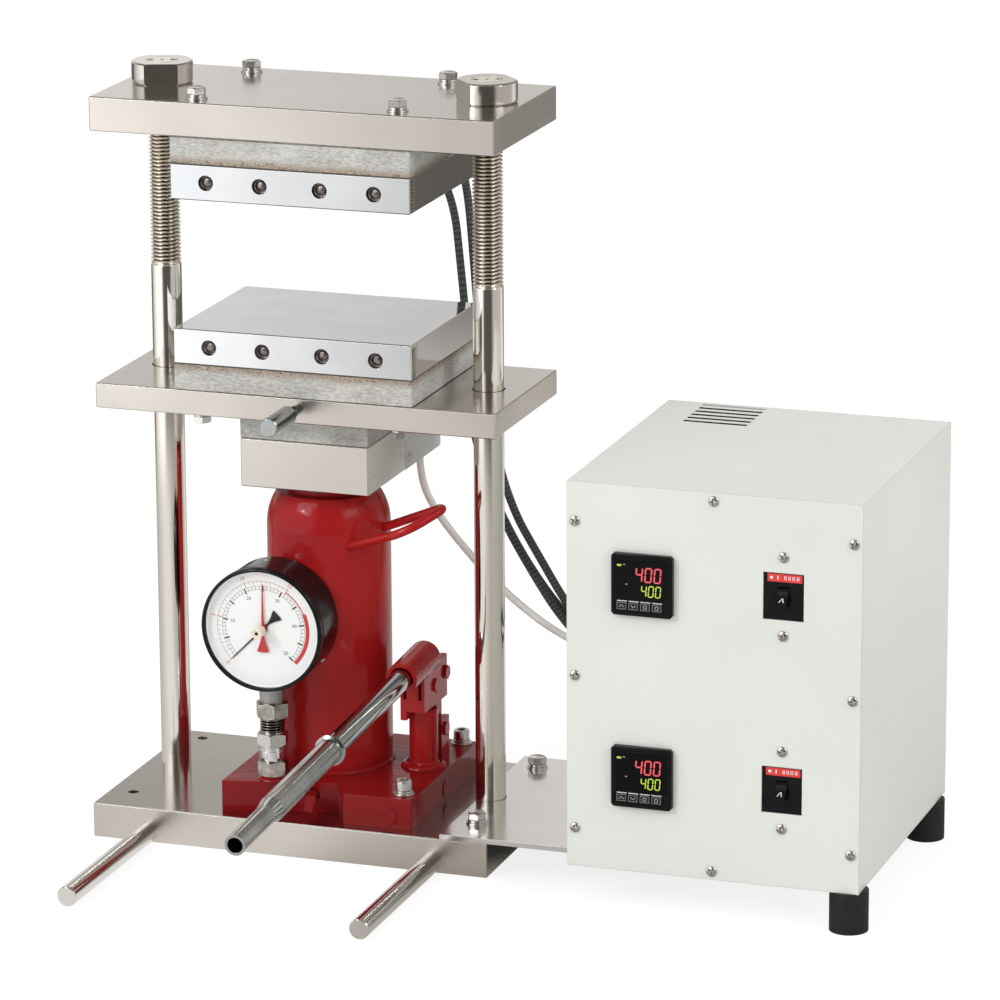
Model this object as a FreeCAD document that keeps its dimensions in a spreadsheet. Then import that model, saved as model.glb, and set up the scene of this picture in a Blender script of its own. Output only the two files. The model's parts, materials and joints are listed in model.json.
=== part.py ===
"""A heated hydraulic press on two columns, with its pump jack, gauge and controller box.

All sizes are millimetres. X runs to the right, Y to the back and Z up. The origin is the centre of the
base plate's underside. The ram is down, so the gap between the platens is fully open.
"""
import FreeCAD, Part
import math
import os
import re
import Sketcher
from FreeCAD import Placement, Rotation, Vector

# Driving dimensions
SIZES = {
    # plates and columns
    "base_length": 330,
    "base_width": 200,
    "base_height": 28,
    "plate_length": 330,
    "plate_width": 150,
    "mid_height": 20,
    "top_height": 27,
    "edge_break": 0.8,
    "column_diameter": 24,
    "column_spacing": 268,
    "column_seat": 20,
    "column_slack": 1,
    "thread_fit": 0.05,
    "nut_diameter": 48,
    "nut_flats": 40,
    "nut_height": 17,
    "nut_bevel": 1.2,
    "column_pin_hole": 4.6,
    "column_pin_x": 7.9,
    "column_pin_y": 3.2,
    "column_pin_depth": 6,
    "left_nut_turn": 19,
    "right_nut_turn": 47,
    "rod_diameter": 16,
    "rod_length": 162,
    "rod_spacing": 238,
    "rod_spigot": 10,
    "rod_seat": 18,
    "end_hole_diameter": 8.5,
    "end_hole_inset": 20,
    "end_hole_spacing": 148,
    "end_hole_shift": 9,
    "end_hole_depth": 18,
    # platens and boards
    "platen_length": 196,
    "platen_width": 152,
    "platen_height": 28,
    "platen_opening": 102,
    "insulator_height": 21,
    "heater_diameter": 12,
    "heater_slack": 0.15,
    "heater_recess": 3,
    "inner_heater_x": 24.5,
    "outer_heater_x": 68.6,
    "platen_bolt_x": 82,
    "platen_bolt_y": 58,
    "bolt_diameter": 8,
    "bolt_flats": 13,
    "bolt_head": 5.3,
    "bolt_slack": 0.5,
    "bolt_bite": 14,
    "tap_run_out": 3,
    "washer_diameter": 17,
    "washer_height": 1.6,
    "lock_washer_diameter": 14.4,
    "lock_washer_height": 2.2,
    "lock_washer_gap": 1.5,
    # spacer block and rear cover
    "spacer_length": 106,
    "spacer_width": 86,
    "spacer_height": 39,
    "spacer_shift": 10,
    "cover_depth": 82,
    "cover_sheet": 1.5,
    "cover_screw_diameter": 8,
    "cover_screw_height": 2.5,
    # knob on the front of the moving plate
    "knob_x": 3,
    "knob_height": 11.5,
    "knob_stub_diameter": 9.5,
    "knob_stub_length": 11,
    "knob_neck_diameter": 7.5,
    "knob_neck_length": 9,
    "knob_diameter": 15,
    "knob_length": 41,
    "knob_bevel": 2,
    # jack
    "jack_base_height": 25,
    "jack_base_left": 60,
    "jack_base_right": 99,
    "jack_base_front": 88,
    "jack_base_back": 70,
    "jack_step_x": 31,
    "jack_step_depth": 23,
    "jack_step_slant": 11,
    "jack_diameter": 98,
    "jack_height": 222,
    "jack_wall": 4,
    "jack_shoulder_height": 28,
    "jack_rim_diameter": 80,
    "ram_diameter": 46,
    "ram_reach": 10,
    "ram_floor_gap": 6,
    "ram_fit": 0.1,
    "cylinder_wall": 7,
    "gland_diameter": 66,
    "gland_flange": 4,
    "gland_bite": 14,
    "jack_bolt_right": 88,
    "jack_bolt_front": 75,
    "jack_bolt_back": 62,
    "jack_bolt_left": 48,
    "jack_bolt_rear": 58,
    "cap_head_diameter": 13,
    "cap_head_height": 8,
    "cap_socket_flats": 6,
    "cap_socket_depth": 4,
    "valve_x": 10,
    "valve_height": 15,
    "valve_bore": 11,
    "valve_depth": 24,
    "valve_stem": 10.4,
    "valve_key_width": 14,
    "valve_key_thickness": 7,
    "valve_key_reach": 22,
    "valve_key_length": 13,
    "cast_mark_x": 79.5,
    "cast_mark_y": 8,
    "cast_mark_diameter": 14,
    "cast_mark_height": 0.7,
    "bail_diameter": 7,
    "bail_bend": 26,
    "bail_tip_bend": 9,
    "bail_foot_x": 28,
    "bail_foot_y": 35,
    "bail_foot_drop": 37.5,
    "bail_knee_x": 86,
    "bail_knee_y": 60,
    "bail_knee_drop": 14,
    "bail_tip_x": 112,
    "bail_tip_y": 28,
    "bail_tip_rise": 2,
    "bail_heel_x": 43,
    "bail_heel_y": 3,
    "bail_heel_drop": 30,
    # pump and its lever
    "pump_x": 78,
    "pump_diameter": 23,
    "pump_height": 48,
    "pump_foot_diameter": 30,
    "pump_foot_height": 5,
    "piston_diameter": 14,
    "piston_fit": 0.08,
    "piston_floor": 8,
    "pin_diameter": 8,
    "pin_fit": 0.08,
    "pin_height": 67,
    "pin_head_flats": 10,
    "pin_head_height": 1.8,
    "tongue_thickness": 8,
    "tongue_front": 10,
    "tongue_back": 16,
    "tongue_rise": 9.5,
    "tongue_drop": 16.5,
    "piston_neck_width": 9,
    "piston_neck_drop": 23.5,
    "slot_front": 5,
    "slot_back": 11,
    "slot_rise": 5.6,
    "link_y": 24.5,
    "link_pin_rise": 4,
    "link_length": 47,
    "link_width": 14,
    "link_thickness": 8,
    "lug_width": 18,
    "lug_thickness": 5,
    "lug_slack": 0.5,
    "cheek_slack": 1,
    "cheek_thickness": 5,
    "cheek_front": 26,
    "cheek_back": 28,
    "cheek_drop": 16,
    "tab_back": 13,
    "tab_drop": 7,
    "web_back": 18,
    "handle_droop": 3.5,
    "socket_front": 51,
    "socket_rise": 18.5,
    "socket_length": 56,
    "socket_wall": 3.2,
    "socket_mouth": 15,
    # handle
    "handle_play": 0.9,
    "upper_tube_diameter": 17.5,
    "upper_tube_wall": 1.6,
    "upper_tube_seat": 40,
    "upper_tube_hidden": 63.5,
    "upper_tube_shown": 158,
    "lower_tube_diameter": 20,
    "lower_tube_slack": 0.3,
    "lower_tube_length": 197.5,
    "collar_diameter": 24.6,
    "collar_length": 2.6,
    "tip_diameter": 16,
    "tip_bore": 12,
    "tip_length": 73,
    "tip_taper": 12,
    # gauge and its fittings
    "gauge_x": 23.5,
    "gauge_stem_y": 69,
    "gauge_front": 91.5,
    "gauge_back_gap": 1.5,
    "gauge_boss_diameter": 18.6,
    "gauge_boss_height": 4,
    "oil_bore": 5,
    "fitting_flats": 21.5,
    "lower_nut_height": 12,
    "union_skirt_height": 12.5,
    "union_skirt_diameter": 22,
    "union_height": 10.5,
    "nipple_diameter": 20,
    "nipple_height": 11.5,
    "upper_nut_height": 13.5,
    "stem_diameter": 21,
    "stem_height": 14.5,
    "stem_block": 12,
    "gauge_case_diameter": 98,
    "gauge_case_wall": 1.5,
    "bezel_diameter": 100,
    "bezel_depth": 9,
    "bezel_lip": 3,
    "bezel_lip_depth": 2,
    "glass_height": 2,
    "glass_slack": 0.2,
    "dial_depth": 6.5,
    "dial_height": 1,
    "needle_height": 0.4,
    "needle_length": 37,
    "needle_tail": 18,
    "needle_hub_diameter": 9,
    "needle_shaft_diameter": 2.4,
    "max_hand_length": 36,
    "max_hand_tail": 19,
    "hand_gap": 0.5,
    "reset_knob_diameter": 9,
    "reset_knob_height": 9,
    "tube_bend_diameter": 58,
    "tube_diameter": 7,
    # bracket and controller box
    "bracket_height": 4,
    "bracket_overlap": 39,
    "bracket_right": 300,
    "bracket_back": 108,
    "bracket_slack": 0.6,
    "box_left": 242.5,
    "box_width": 230,
    "box_depth": 260,
    "box_height": 303,
    "box_front": 137,
    "box_sheet": 1.5,
    "panel_sheet": 2,
    "screw_inset": 6.5,
    "screw_rise": 121,
    "screw_diameter": 7.5,
    "screw_height": 2.2,
    "screw_shank": 3.6,
    "screw_length": 7,
    "foot_diameter": 30,
    "foot_inset_x": 10.5,
    "foot_inset_y": 12,
    "vent_count": 6,
    "vent_pitch": 10.5,
    "vent_width": 5,
    "vent_length": 51.5,
    "vent_middle": 56,
    "vent_back": 6.5,
    "controller_x": 60.5,
    "controller_face": 48,
    "controller_proud": 5,
    "controller_body": 44.4,
    "controller_depth": 80,
    "controller_cutout": 45,
    "breaker_x": 169.5,
    "upper_row": 227.5,
    "lower_row": 76.3,
    "window_width": 31.5,
    "window_height": 36.5,
    "breaker_width": 35,
    "breaker_height": 80,
    "breaker_depth": 45,
    "breaker_nose": 1.2,
    "nose_slack": 0.4,
    "toggle_width": 8,
    "toggle_drum": 14,
    "toggle_inset": 4,
    "toggle_grip": 12,
    "toggle_thickness": 4,
    "toggle_slack": 0.5,
    "toggle_droop": 22,
    "window_screw_rise": 30.5,
    "button_width": 8,
    "button_height": 6,
    "button_pitch": 9.2,
    "button_shift": 1.6,
    "button_drop": 16.3,
    "button_proud": 0.6,
    "button_travel": 0.8,
    "button_slack": 0.2,
    "button_well": 3,
    "heater_gland_y": 72,
    "heater_gland_z": 138,
    "heater_gland_flats": 30,
    "sensor_gland_y": 42,
    "sensor_gland_z": 148,
    "sensor_gland_flats": 19,
    "supply_gland_inset": 40,
    "supply_gland_flats": 24,
    "gland_reach": 14,
    "gland_dome": 6,
    "heater_cable_diameter": 6.5,
    "sensor_cable_diameter": 6,
}

# Heights and places that follow from the driving dimensions
LEVELS = {
    "jack_floor": "base_height + jack_base_height",
    "jack_top": "jack_floor + jack_height",
    "spacer_bottom": "jack_top + ram_reach",
    "spacer_top": "spacer_bottom + spacer_height",
    "mid_bottom": "spacer_top + insulator_height",
    "mid_top": "mid_bottom + mid_height",
    "lower_platen_bottom": "mid_top + insulator_height",
    "lower_platen_top": "lower_platen_bottom + platen_height",
    "upper_platen_bottom": "lower_platen_top + platen_opening",
    "upper_platen_top": "upper_platen_bottom + platen_height",
    "top_bottom": "upper_platen_top + insulator_height",
    "top_top": "top_bottom + top_height",
    "column_top": "top_top + nut_height",
    "bolt_seat": "washer_height + lock_washer_height",
    "pin_z": "jack_floor + pin_height",
    "link_z": "pin_z + link_pin_rise",
    "boss_top": "jack_floor + gauge_boss_height",
    "union_bottom": "boss_top + lower_nut_height",
    "union_shoulder": "union_bottom + union_skirt_height",
    "nipple_bottom": "union_shoulder + union_height",
    "upper_nut_bottom": "nipple_bottom + nipple_height",
    "stem_bottom": "upper_nut_bottom + upper_nut_height",
    "stem_top": "stem_bottom + stem_height",
    "gauge_z": "stem_top + gauge_case_diameter / 2",
    "gauge_back": "jack_diameter / 2 + gauge_back_gap",
    "box_floor": "base_height + bracket_height",
    "box_middle": "box_floor + box_height / 2",
    "panel_back": "box_front - panel_sheet",
    "breaker_face": "panel_back + breaker_nose",
    "socket_bore": "upper_tube_diameter + 2 * handle_play",
    "socket_diameter": "socket_bore + 2 * socket_wall",
    "handle_z": "pin_z + socket_rise",
    "bracket_left": "base_length / 2 - bracket_overlap",
}

doc = FreeCAD.newDocument("HeatedPress")
PARTS = {}
WORD = re.compile(r"[a-z_][a-z_0-9]*")


def full(text):
    """A formula with each size and level written out as the document knows it."""

    def owned(match):
        word = match.group()
        if word in SIZES:
            return "Sizes." + word
        if word in LEVELS:
            return "Levels." + word
        return word

    return WORD.sub(owned, str(text))


def make_sizes():
    """The sheet of driving dimensions and the set of levels bound to it."""
    sheet = doc.addObject("Spreadsheet::Sheet", "Sizes")
    for row, (alias, value) in enumerate(SIZES.items(), start=1):
        sheet.set(f"A{row}", alias)
        sheet.set(f"B{row}", str(value))
        sheet.setAlias(f"B{row}", alias)
    doc.recompute()
    levels = doc.addObject("App::VarSet", "Levels")
    for name in LEVELS:
        levels.addProperty("App::PropertyFloat", name, "Levels", "")
    for name, formula in LEVELS.items():
        levels.setExpression(name, full(formula))
    doc.recompute()
    return sheet, levels


sheet, levels = make_sizes()


def number(name):
    """The present value of a size or a level."""
    if name in SIZES:
        return float(sheet.get(name))
    return float(getattr(levels, name))


def bind(thing, **formulas):
    """Bind properties of an object to formulas of sizes and levels."""
    for name, formula in formulas.items():
        thing.setExpression(name.replace("__", "."), full(formula))
    return thing


def place(thing, x=0, y=0, z=0):
    """Bind an object's place to formulas."""
    return bind(thing, Placement__Base__x=x, Placement__Base__y=y, Placement__Base__z=z)


def named(label, thing):
    """Take a finished object as the sub-part of that name."""
    thing.Label = label
    PARTS[label] = thing
    return thing


# Solids from primitives
ALONG = {
    "x": Rotation(Vector(0, 1, 0), 90),
    "y": Rotation(Vector(1, 0, 0), -90),
    "z": Rotation(),
}


def block(x, y, z, length, width, height):
    """A box from its least corner."""
    solid = doc.addObject("Part::Box", "Block")
    bind(solid, Length=length, Width=width, Height=height)
    return place(solid, x, y, z)


def rod(x, y, z, diameter, length, along="z"):
    """A cylinder that starts at a point and runs along an axis."""
    solid = doc.addObject("Part::Cylinder", "Rod")
    solid.Placement = Placement(Vector(), ALONG[along])
    bind(solid, Radius=f"({diameter}) / 2", Height=length)
    return place(solid, x, y, z)


def cone(x, y, z, start, end, length, along="z"):
    """A cone frustum that starts at a point and runs along an axis."""
    solid = doc.addObject("Part::Cone", "Cone")
    solid.Placement = Placement(Vector(), ALONG[along])
    bind(solid, Radius1=f"({start}) / 2", Radius2=f"({end}) / 2", Height=length)
    return place(solid, x, y, z)


def hex_bar(x, y, z, flats, length, along="z"):
    """A hexagonal bar that starts at a point and runs along an axis."""
    solid = doc.addObject("Part::Prism", "HexBar")
    solid.Polygon = 6
    solid.Placement = Placement(Vector(), ALONG[along])
    bind(solid, Circumradius=f"({flats}) / 2 / cos(30)", Height=length)
    return place(solid, x, y, z)


def fuse(*solids):
    """One solid from several that touch."""
    joined = doc.addObject("Part::MultiFuse", "Joined")
    joined.Shapes = list(solids)
    joined.Refine = True
    return joined


def cut(base, *tools):
    """A solid less others."""
    tool = tools[0]
    if len(tools) > 1:
        tool = doc.addObject("Part::Compound", "Tools")
        tool.Links = list(tools)
    result = doc.addObject("Part::Cut", "Cut")
    result.Base = base
    result.Tool = tool
    result.Refine = True
    return result


def copy_of(solid, x=0, y=0, z=0, rotation=None):
    """A linked copy of a form, at a place bound to formulas."""
    link = doc.addObject("App::Link", "Copy")
    link.setLink(solid)
    link.LinkTransform = False
    if rotation:
        link.Placement = Placement(Vector(), rotation)
    return place(link, x, y, z)


def group(*solids):
    """Separate solids kept as one object."""
    together = doc.addObject("Part::Compound", "Group")
    together.Links = list(solids)
    return together


# Solids from sketches
NORMAL_SIGN = {"XY_Plane": "", "XZ_Plane": "-", "YZ_Plane": ""}


def new_body():
    """An empty body."""
    return doc.addObject("PartDesign::Body", "Body")


def new_sketch(body, role, level=0):
    """A sketch on one of the body's own planes, moved to a level along that plane's axis."""
    sketch = body.newObject("Sketcher::SketchObject", "Sketch")
    plane = [feature for feature in body.Origin.OriginFeatures if feature.Role == role][0]
    sketch.AttachmentSupport = [(plane, "")]
    sketch.MapMode = "FlatFace"
    return bind(sketch, AttachmentOffset__Base__z=f"{NORMAL_SIGN[role]}({level})")


def pin_point(sketch, geometry, point, x, y):
    """Tie one point of a sketch to two formulas."""
    for kind, formula in (("DistanceX", x), ("DistanceY", y)):
        index = sketch.addConstraint(Sketcher.Constraint(kind, -1, 1, geometry, point, 1.0))
        sketch.setExpression(f"Constraints[{index}]", full(formula))


def add_outline(sketch, corners):
    """A closed outline of straight sides through corners given as formulas."""
    count = len(corners)
    first = sketch.GeometryCount
    angles = [2 * math.pi * i / count for i in range(count)]
    guess = [Vector(math.cos(angle), math.sin(angle), 0) for angle in angles]
    for i in range(count):
        sketch.addGeometry(Part.LineSegment(guess[i], guess[(i + 1) % count]), False)
    for i in range(count):
        following = first + (i + 1) % count
        sketch.addConstraint(Sketcher.Constraint("Coincident", first + i, 2, following, 1))
    for i, (x, y) in enumerate(corners):
        pin_point(sketch, first + i, 1, x, y)


def add_rectangle(sketch, x, y, width, height):
    """A rectangle about a centre."""
    left = f"({x}) - ({width}) / 2"
    right = f"({x}) + ({width}) / 2"
    low = f"({y}) - ({height}) / 2"
    high = f"({y}) + ({height}) / 2"
    add_outline(sketch, [(left, low), (right, low), (right, high), (left, high)])


def add_circle(sketch, x, y, diameter):
    """A circle about a centre."""
    index = sketch.addGeometry(Part.Circle(Vector(0, 0, 0), Vector(0, 0, 1), 1.0), False)
    pin_point(sketch, index, 3, x, y)
    size = sketch.addConstraint(Sketcher.Constraint("Diameter", index, 2.0))
    sketch.setExpression(f"Constraints[{size}]", full(diameter))


def pad(body, sketch, length, back=False):
    """Raise a sketch into a solid along its plane's normal, or the other way."""
    feature = body.newObject("PartDesign::Pad", "Pad")
    feature.Profile = sketch
    feature.Reversed = back
    bind(feature, Length=length)
    doc.recompute()
    return feature


def pocket(body, sketch, depth=None, back=False):
    """Cut a sketch into the solid against its plane's normal, or the other way, or right through."""
    before = body.Shape.Volume
    feature = body.newObject("PartDesign::Pocket", "Pocket")
    feature.Profile = sketch
    feature.Reversed = back
    if depth is None:
        feature.Type = "ThroughAll"
    else:
        bind(feature, Length=depth)
    doc.recompute()
    if body.Shape.Volume > before - 1e-6:
        raise ValueError(f"a pocket cuts nothing from {body.Name}")
    return feature


def turned(corners, role="XZ_Plane", level=0):
    """A body turned about its plane's upright axis from an outline of radius and height."""
    body = new_body()
    sketch = new_sketch(body, role, level)
    add_outline(sketch, corners)
    feature = body.newObject("PartDesign::Revolution", "Revolution")
    feature.Profile = sketch
    feature.ReferenceAxis = (sketch, ["V_Axis"])
    feature.Angle = 360
    doc.recompute()
    return body


def bevel(body, feature, size, chooses):
    """Chamfer the edges that a test picks."""
    edges = [f"Edge{i + 1}" for i, edge in enumerate(feature.Shape.Edges) if chooses(edge)]
    chamfer = body.newObject("PartDesign::Chamfer", "Chamfer")
    chamfer.Base = (feature, edges)
    bind(chamfer, Size=size)
    doc.recompute()
    return chamfer


def any_edge(edge):
    """Every edge."""
    return edge is not None


def upright_edge(edge):
    """An edge that runs up and down."""
    ends = [vertex.Point for vertex in edge.Vertexes]
    return len(ends) == 2 and (ends[0] - ends[1]).cross(Vector(0, 0, 1)).Length < 1e-6


def four(x, y):
    """The four places at plus and minus x and y."""
    return [(f"{i}({x})", f"{j}({y})") for i in ("-", "") for j in ("-", "")]


PLATEN_BOLTS = four("platen_bolt_x", "platen_bolt_y")
BOLT_HOLE = "bolt_diameter + 2 * bolt_slack"
COLUMNS = (("-column_spacing / 2", 0), ("column_spacing / 2", 0))


def slab(label, length, width, bottom, height, holes, y=0):
    """A flat plate with all its edges broken, pierced from its top by round holes."""
    body = new_body()
    outline = new_sketch(body, "XY_Plane", bottom)
    add_rectangle(outline, 0, y, length, width)
    raised = pad(body, outline, height)
    bevel(body, raised, "edge_break", any_edge)
    for places, diameter, depth in holes:
        piercing = new_sketch(body, "XY_Plane", f"({bottom}) + ({height})")
        for hole_x, hole_y in places:
            add_circle(piercing, hole_x, hole_y, diameter)
        pocket(body, piercing, depth)
    return named(label, body)


# Base plate with its column seats, rod seats and tapped holes

TIGHT_COLUMN = "column_diameter + 2 * thread_fit"


def make_base_plate():
    """The thick plate that everything stands on. Its left end keeps the holes of a spare bracket."""
    tapped = [
        (f"{side}(base_length / 2 - end_hole_inset)", f"end_hole_shift {way} end_hole_spacing / 2")
        for side in ("-", "")
        for way in ("-", "+")
    ]
    body = slab(
        "base_plate",
        "base_length",
        "base_width",
        0,
        "base_height",
        [
            (COLUMNS, TIGHT_COLUMN, "column_seat"),
            (tapped, "end_hole_diameter", "end_hole_depth"),
            (JACK_BOLTS, "bolt_diameter + 2 * thread_fit", "bolt_bite + tap_run_out"),
        ],
    )
    seats = new_sketch(body, "XZ_Plane", "-base_width / 2")
    for side in ("-", ""):
        add_circle(seats, f"{side}rod_spacing / 2", "rod_diameter / 2", "rod_spigot + 2 * thread_fit")
    pocket(body, seats, "rod_seat")


JACK_BOLTS = (
    ("jack_bolt_right", "-jack_bolt_front"),
    ("jack_bolt_right", "jack_bolt_back"),
    ("-jack_bolt_left", "jack_bolt_rear"),
)


def make_front_rods():
    """The two round bars screwed into the front of the base plate."""
    outline = [
        (0, 0),
        ("rod_diameter / 2 - edge_break", 0),
        ("rod_diameter / 2", "edge_break"),
        ("rod_diameter / 2", "rod_length"),
        ("rod_spigot / 2", "rod_length"),
        ("rod_spigot / 2", "rod_length + rod_seat"),
        (0, "rod_length + rod_seat"),
    ]
    form = turned(outline)
    front = "-base_width / 2 - rod_length"
    rods = [
        copy_of(form, f"{side}rod_spacing / 2", front, "rod_diameter / 2", ALONG["y"]) for side in ("-", "")
    ]
    named("front_rods", group(*rods))


def make_columns():
    """The two ground columns, with two holes for a pin spanner in the upper end of each."""
    length = "column_top - base_height + column_seat"
    floor = "column_top - column_pin_depth"
    pair = []
    for x, y in COLUMNS:
        column = rod(x, y, "base_height - column_seat", "column_diameter", length)
        holes = [
            rod(f"{x} {side} column_pin_x", f"{side}column_pin_y", floor, "column_pin_hole", "2 * column_pin_depth")
            for side in ("-", "+")
        ]
        pair.append(cut(column, *holes))
    named("columns", group(*pair))


def make_column_nuts():
    """The round nuts on the columns, each with a pair of spanner flats."""
    body = new_body()
    ring = new_sketch(body, "XY_Plane")
    add_circle(ring, 0, 0, "nut_diameter")
    raised = pad(body, ring, "nut_height")
    bevel(body, raised, "nut_bevel", lambda edge: isinstance(edge.Curve, Part.Circle))
    flats = new_sketch(body, "XY_Plane", "nut_height")
    for side in ("-", ""):
        y = f"{side}(nut_flats / 2 + nut_diameter / 2)"
        add_rectangle(flats, 0, y, "2 * nut_diameter", "nut_diameter")
    pocket(body, flats)
    bore = new_sketch(body, "XY_Plane", "nut_height")
    add_circle(bore, 0, 0, TIGHT_COLUMN)
    pocket(body, bore)
    turns = (number("left_nut_turn"), -number("right_nut_turn"))
    nuts = [
        copy_of(body, x, y, "top_top", Rotation(Vector(0, 0, 1), turn))
        for (x, y), turn in zip(COLUMNS, turns)
    ]
    named("column_nuts", group(*nuts))


# Plates, boards and platens


def make_plates():
    """The fixed top plate and the moving plate under the lower platen."""
    bolts = (PLATEN_BOLTS, BOLT_HOLE, None)
    slab(
        "top_plate",
        "plate_length",
        "plate_width",
        "top_bottom",
        "top_height",
        [(COLUMNS, TIGHT_COLUMN, None), bolts],
    )
    body = slab(
        "mid_plate",
        "plate_length",
        "plate_width",
        "mid_bottom",
        "mid_height",
        [(COLUMNS, "column_diameter + 2 * column_slack", None), bolts],
    )
    knob_hole = new_sketch(body, "XZ_Plane", "-plate_width / 2")
    add_circle(knob_hole, "knob_x", "mid_bottom + knob_height", "knob_neck_diameter + 2 * thread_fit")
    pocket(body, knob_hole, "knob_neck_length")


def make_insulators():
    """The heat-stopping boards: one at each platen and one on the spacer block."""
    bolts = [(PLATEN_BOLTS, BOLT_HOLE, None)]
    for label, bottom in (("upper_insulator", "upper_platen_top"), ("lower_insulator", "mid_top")):
        slab(label, "platen_length", "platen_width", bottom, "insulator_height", bolts)
    length, width, y = "spacer_length", "spacer_width", "-spacer_shift"
    slab("spacer_insulator", length, width, "spacer_top", "insulator_height", [], y)
    slab("spacer_block", length, width, "spacer_bottom", "spacer_height", [], y)


HEATERS = [f"{side}{size}" for side in ("-", "") for size in ("inner_heater_x", "outer_heater_x")]


def make_platens():
    """The two heated platens, bored from front to back for four cartridges and tapped for their bolts."""
    depth = "bolt_bite + tap_run_out"
    tapped = "bolt_diameter + 2 * thread_fit"
    for label, bottom in (("upper_platen", "upper_platen_bottom"), ("lower_platen", "lower_platen_bottom")):
        body = new_body()
        outline = new_sketch(body, "XY_Plane", bottom)
        add_rectangle(outline, 0, 0, "platen_length", "platen_width")
        raised = pad(body, outline, "platen_height")
        bevel(body, raised, "edge_break", any_edge)
        bores = new_sketch(body, "XZ_Plane", "-platen_width / 2")
        for x in HEATERS:
            add_circle(bores, x, f"{bottom} + platen_height / 2", "heater_diameter + 2 * heater_slack")
        pocket(body, bores)
        upper = label == "upper_platen"
        bolted = new_sketch(body, "XY_Plane", f"{bottom} + platen_height" if upper else bottom)
        for x, y in PLATEN_BOLTS:
            add_circle(bolted, x, y, tapped)
        pocket(body, bolted, depth, back=not upper)
        named(label, body)


def make_heaters():
    """The heating cartridges, four in each platen."""
    start = "-platen_width / 2 + heater_recess"
    length = "platen_width - heater_recess"
    for row in ("upper", "lower"):
        z = f"{row}_platen_bottom + platen_height / 2"
        cartridges = [rod(x, start, z, "heater_diameter", length, "y") for x in HEATERS]
        named(f"{row}_heaters", group(*cartridges))


# Fasteners


def hex_bolt(shank):
    """A hexagon bolt with its seat at the origin and its head up."""
    head = hex_bar(0, 0, 0, "bolt_flats", "bolt_head")
    return fuse(head, rod(0, 0, f"-({shank})", "bolt_diameter", f"({shank}) + bolt_head / 2"))


def cap_screw(shank):
    """A socket-head screw with its seat at the origin and its head up."""
    head = rod(0, 0, 0, "cap_head_diameter", "cap_head_height")
    socket = hex_bar(0, 0, "cap_head_height - cap_socket_depth", "cap_socket_flats", "cap_socket_depth + 1")
    solid = fuse(head, rod(0, 0, f"-({shank})", "bolt_diameter", f"({shank}) + cap_socket_depth / 2"))
    return cut(solid, socket)


def washer():
    """A flat washer whose underside is at the origin."""
    bore = rod(0, 0, -1, BOLT_HOLE, "washer_height + 2")
    return cut(rod(0, 0, 0, "washer_diameter", "washer_height"), bore)


def lock_washer():
    """A split spring washer whose underside is at the origin."""
    ring = rod(0, 0, 0, "lock_washer_diameter", "lock_washer_height")
    bore = rod(0, 0, -1, BOLT_HOLE, "lock_washer_height + 2")
    width = "lock_washer_diameter"
    slit = block(0, "-lock_washer_gap / 2", -1, width, "lock_washer_gap", "lock_washer_height + 2")
    return cut(ring, bore, slit)


def bolt_sets(bolt, places, seat, downward=False, y_shift=0):
    """Copies of a bolt with a flat and a spring washer under its head, at places on one seat."""
    flip = Rotation(Vector(1, 0, 0), 180) if downward else None
    sign = "-" if downward else "+"
    copies = []
    for x, y in places:
        copies.append(copy_of(FLAT_WASHER, x, y, seat, flip))
        copies.append(copy_of(SPRING_WASHER, x, y, f"{seat} {sign} washer_height", flip))
        copies.append(copy_of(bolt, x, y, f"{seat} {sign} bolt_seat", flip))
    return copies


def make_fasteners():
    """The bolts with their washers: platen bolts, jack screws and bracket bolts."""
    through_top = hex_bolt("bolt_seat + top_height + insulator_height + bolt_bite")
    through_mid = hex_bolt("bolt_seat + mid_height + insulator_height + bolt_bite")
    jack_screw = cap_screw("bolt_seat + jack_base_height + bolt_bite")
    short = hex_bolt("bolt_seat + bracket_height + end_hole_depth - tap_run_out")
    frame = bolt_sets(through_top, PLATEN_BOLTS, "top_top")
    frame += bolt_sets(jack_screw, JACK_BOLTS, "jack_floor")
    frame += bolt_sets(short, BRACKET_BOLTS, "box_floor")
    named("frame_bolts", group(*frame))
    named("lower_platen_bolts", group(*bolt_sets(through_mid, PLATEN_BOLTS, "mid_bottom", downward=True)))


BRACKET_BOLTS = [
    ("base_length / 2 - end_hole_inset", f"end_hole_shift {way} end_hole_spacing / 2") for way in ("-", "+")
]

# Cover behind the spacer block, and the knob


def make_rear_cover():
    """The sheet-metal box behind the spacer block, open at its front and top, with its fixing screw."""
    front = "spacer_width / 2 - spacer_shift"
    height = "spacer_height + insulator_height"
    left = "-spacer_length / 2"
    shell = block(left, front, "spacer_bottom", "spacer_length", "cover_depth", height)
    hollow = block(
        f"{left} + cover_sheet",
        f"{front} - 1",
        "spacer_bottom + cover_sheet",
        "spacer_length - 2 * cover_sheet",
        "cover_depth - cover_sheet + 1",
        height,
    )
    screw_y = f"{front} + cover_screw_diameter"
    screw_z = "spacer_bottom + cover_screw_diameter"
    side = "spacer_length / 2"
    narrow = "cover_screw_diameter * 0.6"
    head = cone(side, screw_y, screw_z, "cover_screw_diameter", narrow, "cover_screw_height", "x")
    named("rear_cover", group(cut(shell, hollow), head))


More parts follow.
